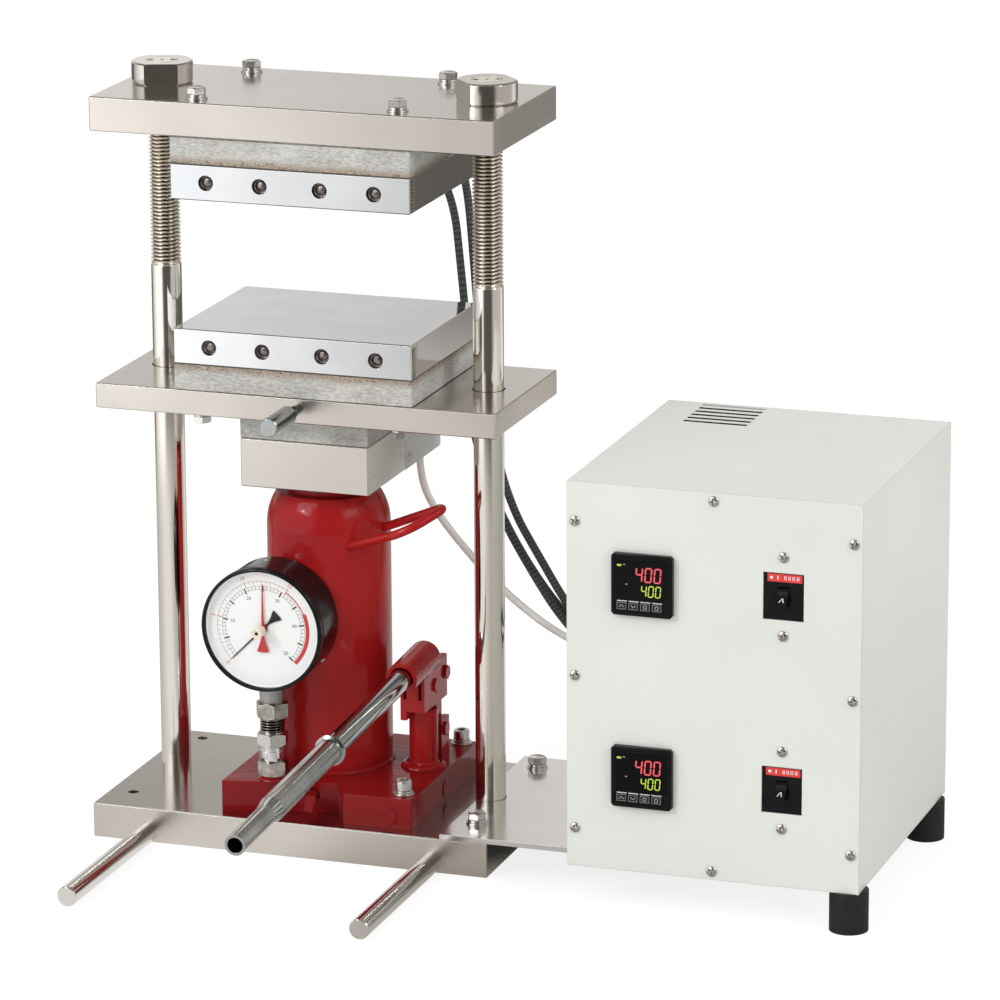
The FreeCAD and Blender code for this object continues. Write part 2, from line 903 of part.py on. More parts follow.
def make_plate_knob():
    """The round handle that sticks out of the moving plate's front."""
    start = "plate_width / 2"
    total = "knob_stub_length + knob_neck_length + knob_length"
    outline = [
        (0, "knob_neck_length"),
        ("knob_neck_diameter / 2", "knob_neck_length"),
        ("knob_neck_diameter / 2", 0),
        ("knob_stub_diameter / 2", 0),
        ("knob_stub_diameter / 2", "-knob_stub_length"),
        ("knob_neck_diameter / 2", "-knob_stub_length"),
        ("knob_neck_diameter / 2", "-knob_stub_length - knob_neck_length + knob_bevel"),
        ("knob_diameter / 2", "-knob_stub_length - knob_neck_length"),
        ("knob_diameter / 2", f"-({total}) + edge_break"),
        ("knob_diameter / 2 - edge_break", f"-({total})"),
        (0, f"-({total})"),
    ]
    body = turned(outline)
    body.Placement = Placement(Vector(), ALONG["y"])
    place(body, "knob_x", f"-{start}", "mid_bottom + knob_height")
    named("plate_knob", body)


# Jack

STEP_Y = "-jack_base_front + jack_step_depth"


def make_jack_base():
    """The thick foot of the jack, with its slanted valve face, the pump's lugs and the gauge boss."""
    body = new_body()
    outline = new_sketch(body, "XY_Plane", "base_height")
    add_outline(
        outline,
        [
            ("-jack_base_left", "-jack_base_front"),
            ("jack_step_x", STEP_Y),
            ("jack_step_x + jack_step_slant", "-jack_base_front"),
            ("jack_base_right", "-jack_base_front"),
            ("jack_base_right", "jack_base_back"),
            ("-jack_base_left", "jack_base_back"),
        ],
    )
    raised = pad(body, outline, "jack_base_height")
    bevel(body, raised, "edge_break", upright_edge)
    holes = new_sketch(body, "XY_Plane", "jack_floor")
    for x, y in JACK_BOLTS:
        add_circle(holes, x, y, BOLT_HOLE)
    pocket(body, holes)
    lug_front = "link_y - lug_width / 2"
    lug_height = "link_z - link_length + lug_width / 2 - jack_floor"
    lugs = [
        block(x, lug_front, "jack_floor", "lug_thickness", "lug_width", lug_height)
        for x in (
            "pump_x - link_thickness / 2 - lug_slack - lug_thickness",
            "pump_x + link_thickness / 2 + lug_slack",
        )
    ]
    boss = rod("-gauge_x", "-gauge_stem_y", "jack_floor", "gauge_boss_diameter", "gauge_boss_height")
    mark_z = "base_height + cast_mark_diameter / 2 + 3"
    deep = "cast_mark_height + 1"
    front_y = "-jack_base_front - cast_mark_height"
    marks = [
        rod("cast_mark_x", front_y, mark_z, "cast_mark_diameter", deep, "y"),
        rod("jack_base_right - 1", "-cast_mark_y", mark_z, "cast_mark_diameter", deep, "x"),
    ]
    pin_hole = rod(
        "pump_x - link_thickness - lug_thickness",
        "link_y",
        "link_z - link_length",
        "pin_diameter + 2 * pin_fit",
        "2 * link_thickness + 2 * lug_thickness",
        "x",
    )
    named("jack_base", cut(fuse(body, *lugs, boss, *marks), pin_hole, valve_bore()))


def valve_frame():
    """The unit vector out of the slanted face and the middle of the valve's mouth on it."""
    run = number("jack_step_x") + number("jack_base_left")
    depth = number("jack_step_depth")
    outward = Vector(depth, -run, 0).normalize()
    share = (number("valve_x") + number("jack_base_left")) / run
    y = -number("jack_base_front") + share * depth
    return outward, Vector(number("valve_x"), y, number("base_height") + number("valve_height"))


def valve_bore():
    """The bore of the release valve, square to the slanted face."""
    outward, mouth = valve_frame()
    bore = doc.addObject("Part::Cylinder", "ValveBore")
    bind(bore, Radius="valve_bore / 2", Height="valve_depth + 5")
    bore.Placement = Placement(mouth - outward * number("valve_depth"), Rotation(Vector(0, 0, 1), outward))
    return bore


def make_release_valve():
    """The spindle in the slanted face, with the upright blade that the handle's end turns."""
    outward, mouth = valve_frame()
    spindle = rod(0, 0, 0, "valve_stem", "valve_depth - 3")
    key = block(
        "-valve_key_thickness / 2",
        "-valve_key_width / 2",
        "valve_depth + valve_key_reach - valve_key_length",
        "valve_key_thickness",
        "valve_key_width",
        "valve_key_length",
    )
    neck = rod(0, 0, "valve_depth - 4", "valve_key_thickness + 2", "valve_key_reach - 4")
    valve = fuse(spindle, neck, key)
    valve.Placement = Placement(
        mouth - outward * (number("valve_depth") - 1), Rotation(Vector(0, 0, 1), outward)
    )
    named("release_valve", valve)


SHOULDER_STEPS = 5


def shoulder_radius(step):
    """The radius of the rounded shoulder after some of its steps, on one arc that starts upright."""
    rise = f"(jack_shoulder_height * {step / SHOULDER_STEPS})"
    drop = "((jack_diameter - jack_rim_diameter) / 2)"
    arc = f"((jack_shoulder_height ^ 2 + {drop} ^ 2) / (2 * {drop}))"
    return f"jack_diameter / 2 - {arc} + sqrt({arc} ^ 2 - {rise} ^ 2)"


def make_jack_body():
    """The oil tank: a tube that rounds in at its shoulder."""
    outer = [
        (shoulder_radius(step), f"jack_top - jack_shoulder_height * {1 - step / SHOULDER_STEPS}")
        for step in range(SHOULDER_STEPS + 1)
    ]
    inner_wall = "jack_diameter / 2 - jack_wall"
    corners = [(inner_wall, "jack_floor"), ("jack_diameter / 2", "jack_floor")]
    corners += outer
    corners += [
        ("gland_diameter / 2 - gland_flange", "jack_top"),
        ("gland_diameter / 2 - gland_flange", "jack_top - 2 * jack_wall"),
        ("jack_rim_diameter / 2 - jack_wall", "jack_top - 2 * jack_wall"),
        (inner_wall, "jack_top - jack_shoulder_height"),
    ]
    named("jack_body", turned(corners))


RAM_BORE = "ram_diameter / 2 + ram_fit"


def make_jack_insides():
    """The pressure cylinder inside the tank, and the gland that guides the ram at its top."""
    neck = "jack_top - gland_bite"
    cylinder = [
        (RAM_BORE, "jack_floor"),
        (f"{RAM_BORE} + cylinder_wall - gland_flange / 2", "jack_floor"),
        (f"{RAM_BORE} + cylinder_wall - gland_flange / 2", neck),
        (RAM_BORE, neck),
    ]
    named("jack_cylinder", turned(cylinder))
    flange = "gland_diameter / 2"
    body = "gland_diameter / 2 - gland_flange - thread_fit"
    gland = [
        (RAM_BORE, neck),
        (body, neck),
        (body, "jack_top"),
        (flange, "jack_top"),
        (flange, "jack_top + gland_flange"),
        (RAM_BORE, "jack_top + gland_flange"),
    ]
    named("jack_gland", turned(gland))


def make_jack_ram():
    """The ram that pushes the spacer block up."""
    bottom = "jack_floor + ram_floor_gap"
    named("jack_ram", rod(0, 0, bottom, "ram_diameter", f"spacer_bottom - ({bottom})"))


def rounded_route(points, radii):
    """A path of straight runs joined by tangent arcs, one radius for each inner point."""
    edges = []
    start = points[0]
    for before, corner, after, radius in zip(points, points[1:], points[2:], radii):
        into = (corner - before).normalize()
        out = (after - corner).normalize()
        half = into.getAngle(out) / 2
        reach = radius * math.tan(half)
        first = corner - into * reach
        last = corner + out * reach
        inward = (out - into).normalize()
        middle = corner + inward * (radius / math.cos(half) - radius)
        edges.append(Part.LineSegment(start, first).toShape())
        edges.append(Part.Arc(first, middle, last).toShape())
        start = last
    edges.append(Part.LineSegment(start, points[-1]).toShape())
    return Part.Wire(edges)


def tube_along(path, diameter):
    """A round solid bar along a path."""
    edge = path.Edges[0]
    start = edge.valueAt(edge.FirstParameter)
    section = Part.Wire(Part.makeCircle(diameter / 2, start, edge.tangentAt(edge.FirstParameter)))
    return path.makePipeShell([section], True, True)


def make_carry_bail():
    """The bent rod welded to the tank's side, by which the jack is lifted."""
    height = number("jack_top")
    points = [
        Vector(number(f"bail_{end}_x"), -number(f"bail_{end}_y"), height + rise)
        for end, rise in (
            ("foot", -number("bail_foot_drop")),
            ("knee", -number("bail_knee_drop")),
            ("tip", number("bail_tip_rise")),
            ("heel", -number("bail_heel_drop")),
        )
    ]
    path = rounded_route(points, (number("bail_bend"), number("bail_tip_bend")))
    bail = tube_along(path, number("bail_diameter"))
    tank = Part.makeCylinder(number("jack_diameter") / 2, height)
    feature = doc.addObject("Part::Feature", "Bail")
    feature.Shape = bail.cut(tank)
    named("carry_bail", feature)


# Pump, link and lever


def make_pump():
    """The pump's cylinder on its weld foot, and the piston with its flat neck and slotted tongue."""
    bore = "piston_diameter / 2 + piston_fit"
    top = "jack_floor + pump_height"
    outline = [
        (0, "jack_floor"),
        ("pump_foot_diameter / 2", "jack_floor"),
        ("pump_diameter / 2", "jack_floor + pump_foot_height"),
        ("pump_diameter / 2", f"{top} - edge_break"),
        ("pump_diameter / 2 - edge_break", top),
        (bore, top),
        (bore, "jack_floor + piston_floor - 3"),
        (0, "jack_floor + piston_floor - 3"),
    ]
    cylinder = turned(outline)
    place(cylinder, "pump_x")
    named("pump_cylinder", cylinder)
    tongue_bottom = "pin_z - tongue_drop"
    piston = rod(
        "pump_x",
        0,
        "jack_floor + piston_floor",
        "piston_diameter",
        "pin_z - piston_neck_drop - jack_floor - piston_floor",
    )
    left = "pump_x - tongue_thickness / 2"
    neck = block(
        left,
        "-piston_neck_width / 2",
        "pin_z - piston_neck_drop",
        "tongue_thickness",
        "piston_neck_width",
        "piston_neck_drop - tongue_drop + 1",
    )
    tongue = block(
        left,
        "-tongue_front",
        tongue_bottom,
        "tongue_thickness",
        "tongue_front + tongue_back",
        "tongue_drop + tongue_rise",
    )
    slot = block(
        f"{left} - 1",
        "-slot_front",
        "pin_z - slot_rise",
        "tongue_thickness + 2",
        "slot_front + slot_back",
        "2 * slot_rise",
    )
    named("pump_piston", cut(fuse(piston, neck, tongue), slot))


def cross_pin(y, z, reach):
    """A headed pin across the pump's middle plane, its head on the right."""
    left = f"pump_x - ({reach})"
    shank = rod(left, y, z, "pin_diameter", f"2 * ({reach})", "x")
    head = hex_bar(f"pump_x + ({reach})", y, z, "pin_head_flats", "pin_head_height", "x")
    return fuse(shank, head)


CHEEK_REACH = "link_thickness / 2 + cheek_slack + cheek_thickness"


def make_pump_link():
    """The flat link behind the pump, standing on its lug, with the pins at its two ends."""
    lower = "link_z - link_length"
    left = "pump_x - link_thickness / 2"
    bar = block(left, "link_y - link_width / 2", lower, "link_thickness", "link_width", "link_length")
    ends = [rod(left, "link_y", z, "link_width", "link_thickness", "x") for z in (lower, "link_z")]
    holes = [
        rod(f"{left} - 1", "link_y", z, "pin_diameter + 2 * thread_fit", "link_thickness + 2", "x")
        for z in (lower, "link_z")
    ]
    link = cut(fuse(bar, *ends), *holes)
    lower_pin = cross_pin("link_y", lower, "link_thickness / 2 + lug_slack + lug_thickness + thread_fit")
    upper_pin = cross_pin("link_y", "link_z", f"{CHEEK_REACH} + cheek_slack / 2")
    named("pump_link", group(link, lower_pin, upper_pin))


def along_handle(label, corners):
    """A turned piece on the handle's axis. Its heights are distances out from the socket's mouth."""
    body = turned(corners)
    body.Placement = Placement(Vector(), Rotation(Vector(1, 0, 0), 90))
    bind(body, Placement__Rotation__Angle="90 + handle_droop")
    place(body, "pump_x", "-socket_front", "handle_z")
    return named(label, body)


def make_handle_socket():
    """The lever: a tube open along its underside, on two cheeks and a web, with the piston's pin."""
    tilt = Rotation(Vector(1, 0, 0), -(90 - number("handle_droop")))

    def on_axis(diameter, length, margin=0):
        solid = doc.addObject("Part::Cylinder", "Socket")
        direction = tilt.multVec(Vector(0, 0, 1))
        start = Vector(number("pump_x"), -number("socket_front"), number("handle_z")) - direction * margin
        solid.Placement = Placement(start, tilt)
        return bind(solid, Radius=f"({diameter}) / 2", Height=length)

    tube = on_axis("socket_diameter", "socket_length")
    bore = on_axis("socket_bore", "socket_length + 10", 5)
    mouth = doc.addObject("Part::Box", "Mouth")
    bind(mouth, Length="socket_mouth", Width="socket_diameter", Height="socket_length + 10")
    corner = tilt.multVec(Vector(-number("socket_mouth") / 2, 0, -5))
    mouth.Placement = Placement(
        Vector(number("pump_x"), -number("socket_front"), number("handle_z")) + corner, tilt
    )
    cheeks = [
        block(
            x,
            "-cheek_front",
            "pin_z - cheek_drop",
            "cheek_thickness",
            "cheek_front + cheek_back",
            "socket_rise + cheek_drop",
        )
        for x in (f"pump_x - ({CHEEK_REACH})", "pump_x + link_thickness / 2 + cheek_slack")
    ]
    tab = block(
        f"pump_x - ({CHEEK_REACH})",
        "-cheek_front",
        "pin_z - cheek_drop - tab_drop",
        "cheek_thickness",
        "cheek_front - tab_back",
        "tab_drop + 1",
    )
    link_hole = rod(
        f"pump_x - ({CHEEK_REACH}) - 1", "link_y", "link_z", "pin_diameter + 2 * pin_fit", "60", "x"
    )
    pin_hole = rod(
        f"pump_x - ({CHEEK_REACH}) - 1", 0, "pin_z", "pin_diameter + 2 * thread_fit", "60", "x"
    )
    lever = cut(fuse(tube, *cheeks, tab), bore, mouth, link_hole, pin_hole)
    web = block(
        "pump_x - link_thickness / 2 - cheek_slack",
        "-cheek_front",
        "pin_z - cheek_drop",
        "link_thickness + 2 * cheek_slack",
        "cheek_front - web_back",
        "socket_rise + cheek_drop",
    )
    lever = fuse(lever, cut(web, on_axis("socket_bore", "socket_length + 10", 5)))
    named("handle_socket", group(lever, cross_pin(0, "pin_z", f"{CHEEK_REACH} + thread_fit")))


def make_handle():
    """The two-part handle: a tube in the socket and a longer one that slides over it."""
    outer = "upper_tube_diameter / 2"
    inner = "upper_tube_diameter / 2 - upper_tube_wall"
    end = "upper_tube_shown + upper_tube_hidden"
    along_handle(
        "handle_upper_tube",
        [(inner, "-upper_tube_seat"), (outer, "-upper_tube_seat"), (outer, end), (inner, end)],
    )
    bore = "upper_tube_diameter / 2 + lower_tube_slack"
    skin = "lower_tube_diameter / 2"
    start = "upper_tube_shown"
    tip = "upper_tube_shown + lower_tube_length"
    along_handle(
        "handle_lower_tube",
        [
            (bore, start),
            ("collar_diameter / 2", start),
            ("collar_diameter / 2", f"{start} + collar_length / 2"),
            (skin, f"{start} + collar_length"),
            (skin, f"{tip} - tip_length"),
            ("tip_diameter / 2", f"{tip} - tip_length + tip_taper"),
            ("tip_diameter / 2", tip),
            ("tip_bore / 2", tip),
            ("tip_bore / 2", f"{tip} - tip_length + tip_taper"),
            (bore, f"{tip} - tip_length"),
        ],
    )


# Gauge


def gauge_hex(bottom, height):
    """A hexagonal fitting on the gauge's stem line, bored for the oil."""
    bar = hex_bar("-gauge_x", "-gauge_stem_y", bottom, "fitting_flats", height)
    return cut(bar, oil_passage(bottom, height))


def oil_passage(bottom, height):
    """The oil's way through a fitting."""
    return rod("-gauge_x", "-gauge_stem_y", f"{bottom} - 1", "oil_bore", f"{height} + 2")


def make_gauge_fittings():
    """The stack between the jack's foot and the gauge: nuts, threaded nipple, union and stem."""
    x, y = "-gauge_x", "-gauge_stem_y"
    nipple = cut(
        rod(x, y, "nipple_bottom", "nipple_diameter", "nipple_height"),
        oil_passage("nipple_bottom", "nipple_height"),
    )
    named(
        "gauge_fittings",
        group(
            gauge_hex("boss_top", "lower_nut_height"),
            nipple,
            gauge_hex("upper_nut_bottom", "upper_nut_height"),
        ),
    )
    wide = "union_skirt_diameter + 1"
    skirt = cone(x, y, "union_bottom", "union_skirt_diameter", wide, "union_skirt_height")
    collar = hex_bar(x, y, "union_shoulder", "fitting_flats + 1", "union_height")
    passage = oil_passage("union_bottom", "union_skirt_height + union_height")
    named("gauge_union", cut(fuse(skirt, collar), passage))


CASE_RADIUS = "gauge_case_diameter / 2"
CASE_FRONT = "-gauge_front + bezel_lip_depth + glass_height + 1"


def make_gauge_case():
    """The gauge's black cup, open to the front, with a hole for the stem."""
    depth = f"({CASE_FRONT}) * -1 - gauge_back"
    shell = rod("-gauge_x", CASE_FRONT, "gauge_z", "gauge_case_diameter", depth, "y")
    inside = "gauge_case_diameter - 2 * gauge_case_wall"
    hollow = rod("-gauge_x", f"{CASE_FRONT} - 1", "gauge_z", inside, f"{depth} - gauge_case_wall + 1", "y")
    height = "gauge_case_wall * 4"
    hole = rod("-gauge_x", "-gauge_stem_y", f"stem_top - {height} / 2", "stem_block + 1", height)
    named("gauge_case", cut(shell, hollow, hole))


def gauge_ring(corners):
    """A ring about the gauge's axis, from radius and distance behind the bezel's front."""
    body = turned(corners)
    body.Placement = Placement(Vector(), ALONG["y"])
    return place(body, "-gauge_x", "-gauge_front", "gauge_z")


def make_gauge_front():
    """The bezel, the glass with its hole for the reset knob, and the dial."""
    lip = "bezel_diameter / 2 - bezel_lip"
    seat = f"{CASE_RADIUS} - 1"
    grip = f"{CASE_RADIUS} + thread_fit"
    glass_back = "bezel_lip_depth + glass_height"
    named(
        "gauge_bezel",
        gauge_ring(
            [
                (lip, 0),
                ("bezel_diameter / 2 - edge_break", 0),
                ("bezel_diameter / 2", "edge_break"),
                ("bezel_diameter / 2", "bezel_depth"),
                (grip, "bezel_depth"),
                (grip, f"{glass_back} + 0.5"),
                (seat, f"{glass_back} + 0.5"),
                (seat, "bezel_lip_depth"),
                (lip, "bezel_lip_depth"),
            ]
        ),
    )
    shaft_hole = "needle_shaft_diameter / 2 + hand_gap"
    rim = f"{seat} - glass_slack"
    named(
        "gauge_glass",
        gauge_ring(
            [
                (shaft_hole, "bezel_lip_depth"),
                (rim, "bezel_lip_depth"),
                (rim, glass_back),
                (shaft_hole, glass_back),
            ]
        ),
    )
    edge = f"{CASE_RADIUS} - gauge_case_wall - glass_slack"
    back = "dial_depth + dial_height"
    named(
        "gauge_dial",
        gauge_ring([(shaft_hole, "dial_depth"), (edge, "dial_depth"), (edge, back), (shaft_hole, back)]),
    )


def make_gauge_stem():
    """The stem with the block inside the case and the bent pressure tube brazed to it."""
    x, y = "-gauge_x", "-gauge_stem_y"
    taper = cone(x, y, "stem_bottom", "stem_diameter - 2", "stem_diameter", "stem_height - 2")
    inner_end = rod(x, y, "stem_top - 3", "stem_block", "gauge_case_wall + 17")
    tube = doc.addObject("Part::Torus", "PressureTube")
    bind(tube, Radius1="tube_bend_diameter / 2", Radius2="tube_diameter / 2", Angle3=250)
    tube.Placement = Placement(Vector(), Rotation(Vector(1, 0, 0), 90) * Rotation(Vector(0, 0, 1), -90))
    place(tube, x, y, "gauge_z")
    drill = oil_passage("stem_bottom", "stem_height")
    named("gauge_stem", cut(fuse(taper, inner_end, tube), drill))


def hand(length, tail, depth):
    """A flat gauge hand that points up, with a tail that widens to a triangle."""
    body = new_body()
    outline = new_sketch(body, "XZ_Plane", 0)
    half = "needle_shaft_diameter / 3"
    add_outline(
        outline,
        [
            (f"-({tail}) * 0.3", f"-({tail})"),
            (f"({tail}) * 0.3", f"-({tail})"),
            (half, "-needle_hub_diameter / 2"),
            (half, 0),
            (0, length),
            (f"-{half}", 0),
            (f"-{half}", "-needle_hub_diameter / 2"),
        ],
    )
    pad(body, outline, "needle_height", back=True)
    hub = rod(0, 0, 0, "needle_hub_diameter", "needle_height", "y")
    return place(fuse(body, hub), 0, depth, 0)


def make_gauge_hands():
    """The pressure hand on its shaft, and the drag hand with its reset knob in front of the glass."""
    needle_y = "dial_depth - needle_height - hand_gap"
    shaft = rod(0, needle_y, 0, "needle_shaft_diameter", "needle_height + hand_gap + dial_height + 3", "y")
    needle = fuse(hand("needle_length", "needle_tail", needle_y), shaft)
    needle.Placement = Placement(Vector(), Rotation(Vector(0, 1, 0), -135))
    place(needle, "-gauge_x", "-gauge_front", "gauge_z")
    named("gauge_needle", needle)
    max_y = f"{needle_y} - needle_height - hand_gap"
    knob = rod(0, "-reset_knob_height", 0, "reset_knob_diameter", "reset_knob_height + 1", "y")
    stalk = rod(0, 0, 0, "needle_shaft_diameter", f"{max_y} + needle_height / 2", "y")
    reset = fuse(hand("max_hand_length", "max_hand_tail", max_y), stalk, knob)
    place(reset, "-gauge_x", "-gauge_front", "gauge_z")
    named("max_hand", reset)


# Bracket and controller box


def make_bracket():
    """The stainless plate that joins the controller box to the base plate."""
    length = "bracket_right - bracket_left"
    width = "bracket_back + base_width / 2"
    sheet_plate = block("bracket_left", "-base_width / 2", "base_height", length, width, "bracket_height")
    x, y = COLUMNS[1]
    around = rod(x, y, 0, "column_diameter + 2 * bracket_slack", "box_floor + 5")
    bolts = [rod(x, y, 0, BOLT_HOLE, "box_floor + 5") for x, y in BRACKET_BOLTS]
    named("bracket_plate", cut(sheet_plate, around, *bolts))


CONTROLLER_X = "box_left + controller_x"
BREAKER_X = "box_left + breaker_x"
ROWS = {"upper": "box_floor + upper_row", "lower": "box_floor + lower_row"}


def make_box():
    """The controller's sheet-metal box, open at its front, with vents in its lid, and its front panel."""
    body = new_body()
    middle_x = "box_left + box_width / 2"
    outline = new_sketch(body, "XZ_Plane", "-panel_back")
    add_rectangle(outline, middle_x, "box_middle", "box_width", "box_height")
    pad(body, outline, "box_depth - panel_sheet", back=True)
    hollow = new_sketch(body, "XZ_Plane", "-panel_back")
    add_rectangle(
        hollow, middle_x, "box_middle", "box_width - 2 * box_sheet", "box_height - 2 * box_sheet"
    )
    pocket(body, hollow, "box_depth - panel_sheet - box_sheet")
    vents = new_sketch(body, "XY_Plane", "box_floor + box_height")
    for i in range(int(number("vent_count"))):
        y = f"box_depth - box_front - vent_back - {i} * vent_pitch"
        add_rectangle(vents, "box_left + vent_middle", y, "vent_length", "vent_width")
    pocket(body, vents, "box_sheet * 3")
    named("box_shell", body)
    panel = new_body()
    plate = new_sketch(panel, "XZ_Plane", "-panel_back")
    add_rectangle(plate, middle_x, "box_middle", "box_width", "box_height")
    pad(panel, plate, "panel_sheet")
    openings = new_sketch(panel, "XZ_Plane", "-box_front")
    for z in ROWS.values():
        add_rectangle(openings, CONTROLLER_X, z, "controller_cutout", "controller_cutout")
        add_rectangle(openings, BREAKER_X, z, "window_width", "window_height")
    pocket(panel, openings)
    shanks = new_sketch(panel, "XZ_Plane", "-box_front")
    for x, z in SCREWS:
        add_circle(shanks, x, z, "screw_shank + 2 * thread_fit")
    pocket(panel, shanks)
    named("box_front_panel", panel)


LEFT_SCREW = "box_left + screw_inset"
RIGHT_SCREW = "box_left + box_width - screw_inset"
EDGE_SCREWS = [
    (x, f"box_middle {way}")
    for x in (LEFT_SCREW, RIGHT_SCREW)
    for way in ("- screw_rise", "", "+ screw_rise")
]
END_SCREWS = [
    ("box_left + box_width / 2", f"box_middle {way} (box_height / 2 - screw_inset)") for way in ("-", "+")
]
WINDOW_SCREWS = [
    (BREAKER_X, f"{z} {way} window_screw_rise") for z in ROWS.values() for way in ("-", "+")
]
SCREWS = EDGE_SCREWS + END_SCREWS + WINDOW_SCREWS


def make_box_screws():
    """The round-head screws of the panel and of the breakers."""
    half = "screw_diameter / 2"
    form = turned(
        [
            (0, "-screw_height"),
            (f"{half} * 0.5", "-screw_height"),
            (f"{half} * 0.86", "-screw_height * 0.62"),
            (half, "-screw_height * 0.12"),
            (half, 0),
            ("screw_shank / 2", 0),
            ("screw_shank / 2", "screw_length - screw_height"),
            (0, "screw_length - screw_height"),
        ]
    )
    named("box_screws", group(*[copy_of(form, x, "-box_front", z, ALONG["y"]) for x, z in SCREWS]))


def make_box_feet():
    """The two rubber feet under the box's outer side."""
    x = "box_left + box_width - foot_inset_x"
    feet = [
        rod(x, y, 0, "foot_diameter", "box_floor")
        for y in ("-box_front + foot_inset_y", "box_depth - box_front - foot_inset_y - foot_diameter / 4")
    ]
    named("box_feet", group(*feet))


BUTTONS = ("up", "down", "mode", "set")


def button_x(index):
    """The middle of a controller's button, counted from the left."""
    return f"{CONTROLLER_X} - button_shift + button_pitch * {index - (len(BUTTONS) - 1) / 2}"


def make_controllers():
    """The two temperature controllers: square faces with four button wells each, and deep cases."""
    bodies = []
    for z in ROWS.values():
        body = new_body()
        face = new_sketch(body, "XZ_Plane", "-box_front")
        add_rectangle(face, CONTROLLER_X, z, "controller_face", "controller_face")
        pad(body, face, "controller_proud")
        case = new_sketch(body, "XZ_Plane", "-box_front")
        add_rectangle(case, CONTROLLER_X, z, "controller_body", "controller_body")
        pad(body, case, "controller_depth", back=True)
        wells = new_sketch(body, "XZ_Plane", "-box_front - controller_proud")
        for index in range(len(BUTTONS)):
            width = "button_width + 2 * button_slack"
            height = "button_height + 2 * button_slack"
            add_rectangle(wells, button_x(index), f"{z} - button_drop", width, height)
        pocket(body, wells, "button_well")
        bodies.append(body)
    named("temperature_controllers", group(*bodies))


def make_buttons():
    """The controllers' push buttons, each in its own well with room to travel."""
    for row, z in ROWS.items():
        for index, word in enumerate(BUTTONS):
            front = "-box_front - controller_proud - button_proud"
            length = "button_proud + button_well - button_travel - button_slack"
            button = block(
                f"{button_x(index)} - button_width / 2",
                front,
                f"{z} - button_drop - button_height / 2",
                "button_width",
                length,
                "button_height",
            )
            named(f"{row}_{word}_button", button)


def make_breakers():
    """The two circuit breakers behind their windows, each with a slot for its toggle."""
    bodies = []
    for z in ROWS.values():
        body = new_body()
        case = new_sketch(body, "XZ_Plane", "-panel_back")
        add_rectangle(case, BREAKER_X, z, "breaker_width", "breaker_height")
        pad(body, case, "breaker_depth", back=True)
        nose = new_sketch(body, "XZ_Plane", "-panel_back")
        add_rectangle(
            nose, BREAKER_X, z, "window_width - 2 * nose_slack", "window_height - 2 * nose_slack"
        )
        pad(body, nose, "breaker_nose")
        slot = new_sketch(body, "XZ_Plane", "-breaker_face")
        slot_width = "toggle_width + 2 * toggle_slack"
        add_rectangle(slot, BREAKER_X, z, slot_width, "toggle_drum + 2 * toggle_slack")
        pocket(body, slot, "toggle_inset + toggle_drum / 2 + toggle_slack")
        tapped = new_sketch(body, "XZ_Plane", "-panel_back")
        for way in ("-", "+"):
            add_circle(tapped, BREAKER_X, f"{z} {way} window_screw_rise", "screw_shank + 2 * thread_fit")
        pocket(body, tapped, "screw_length")
        bodies.append(body)
    named("heater_breakers", group(*bodies))


def make_toggles():
    """The breakers' toggles: a drum across the slot with a flat grip, tipped down."""
    for row, z in ROWS.items():
        left = "-toggle_width / 2"
        drum = rod(left, 0, 0, "toggle_drum", "toggle_width", "x")
        grip_bottom = "-toggle_thickness / 2"
        grip = block(left, "-toggle_grip", grip_bottom, "toggle_width", "toggle_grip", "toggle_thickness")
        toggle = fuse(drum, grip)
        toggle.Placement = Placement(Vector(), Rotation(Vector(1, 0, 0), number("toggle_droop")))
        place(toggle, BREAKER_X, "-breaker_face + toggle_inset", z)
        named(f"{row}_toggle", toggle)


def make_glands():
    """The glands in the box's walls: heater cables and sensor cable on the left, supply at the back."""
    left = "box_left - gland_reach"
    glands = []
    for y, z, flats in (
        ("heater_gland_y", "heater_gland_z", "heater_gland_flats"),
        ("sensor_gland_y", "sensor_gland_z", "sensor_gland_flats"),
    ):
        clamp = rod(left, y, z, f"{flats} * 0.9", "gland_dome + 1", "x")
        nut = hex_bar(f"{left} + gland_dome", y, z, flats, "gland_reach - gland_dome", "x")
        glands.append(fuse(clamp, nut))
    x = "box_left + box_width - supply_gland_inset"
    back = "box_depth - box_front"
    z = "box_floor + supply_gland_inset"
    nut = hex_bar(x, back, z, "supply_gland_flats", "gland_reach - gland_dome", "y")
    end = f"{back} + gland_reach - gland_dome - 1"
    clamp = rod(x, end, z, "supply_gland_flats * 0.9", "gland_dome + 1", "y")
    bore = rod(x, end, z, "supply_gland_flats * 0.4", "gland_dome + 2", "y")
    glands.append(cut(fuse(nut, clamp), bore))
    named("cable_glands", group(*glands))


# Cables, with their routes as points chosen along the way that each one hangs

HEATER_ROUTES = {
    "upper_outer": (
        (68.6, 76, 530),
        (68.6, 111, 530),
        (72, 130, 497),
        (80, 122, 436),
        (89, 111, 366),
        (100, 104, 300),
        (119, 97, 243),
        (146, 88, 206),
        (174, 79, 168),
        (203, 72, 143),
        (228.5, 72, 143),
    ),
    "upper_inner": (
        (24.5, 76, 530),
        (24.5, 106, 530),
        (42, 124, 517),
        (61, 128, 486),
        (70, 120, 428),
        (79, 112, 364),
        (90, 105, 297),
        (109, 98, 236),
        (136, 90, 197),
        (166, 80, 160),
        (200, 71, 134),
        (228.5, 71, 134),
    ),
    "lower_outer": (
        (68.6, 76, 400),
        (68.6, 101, 400),
        (66, 115, 378),
        (76, 112, 330),
        (88, 108, 282),
        (106, 106, 236),
        (134, 99, 194),
        (166, 90, 160),
        (201, 79.5, 140),
        (228.5, 79.5, 140),
    ),
}

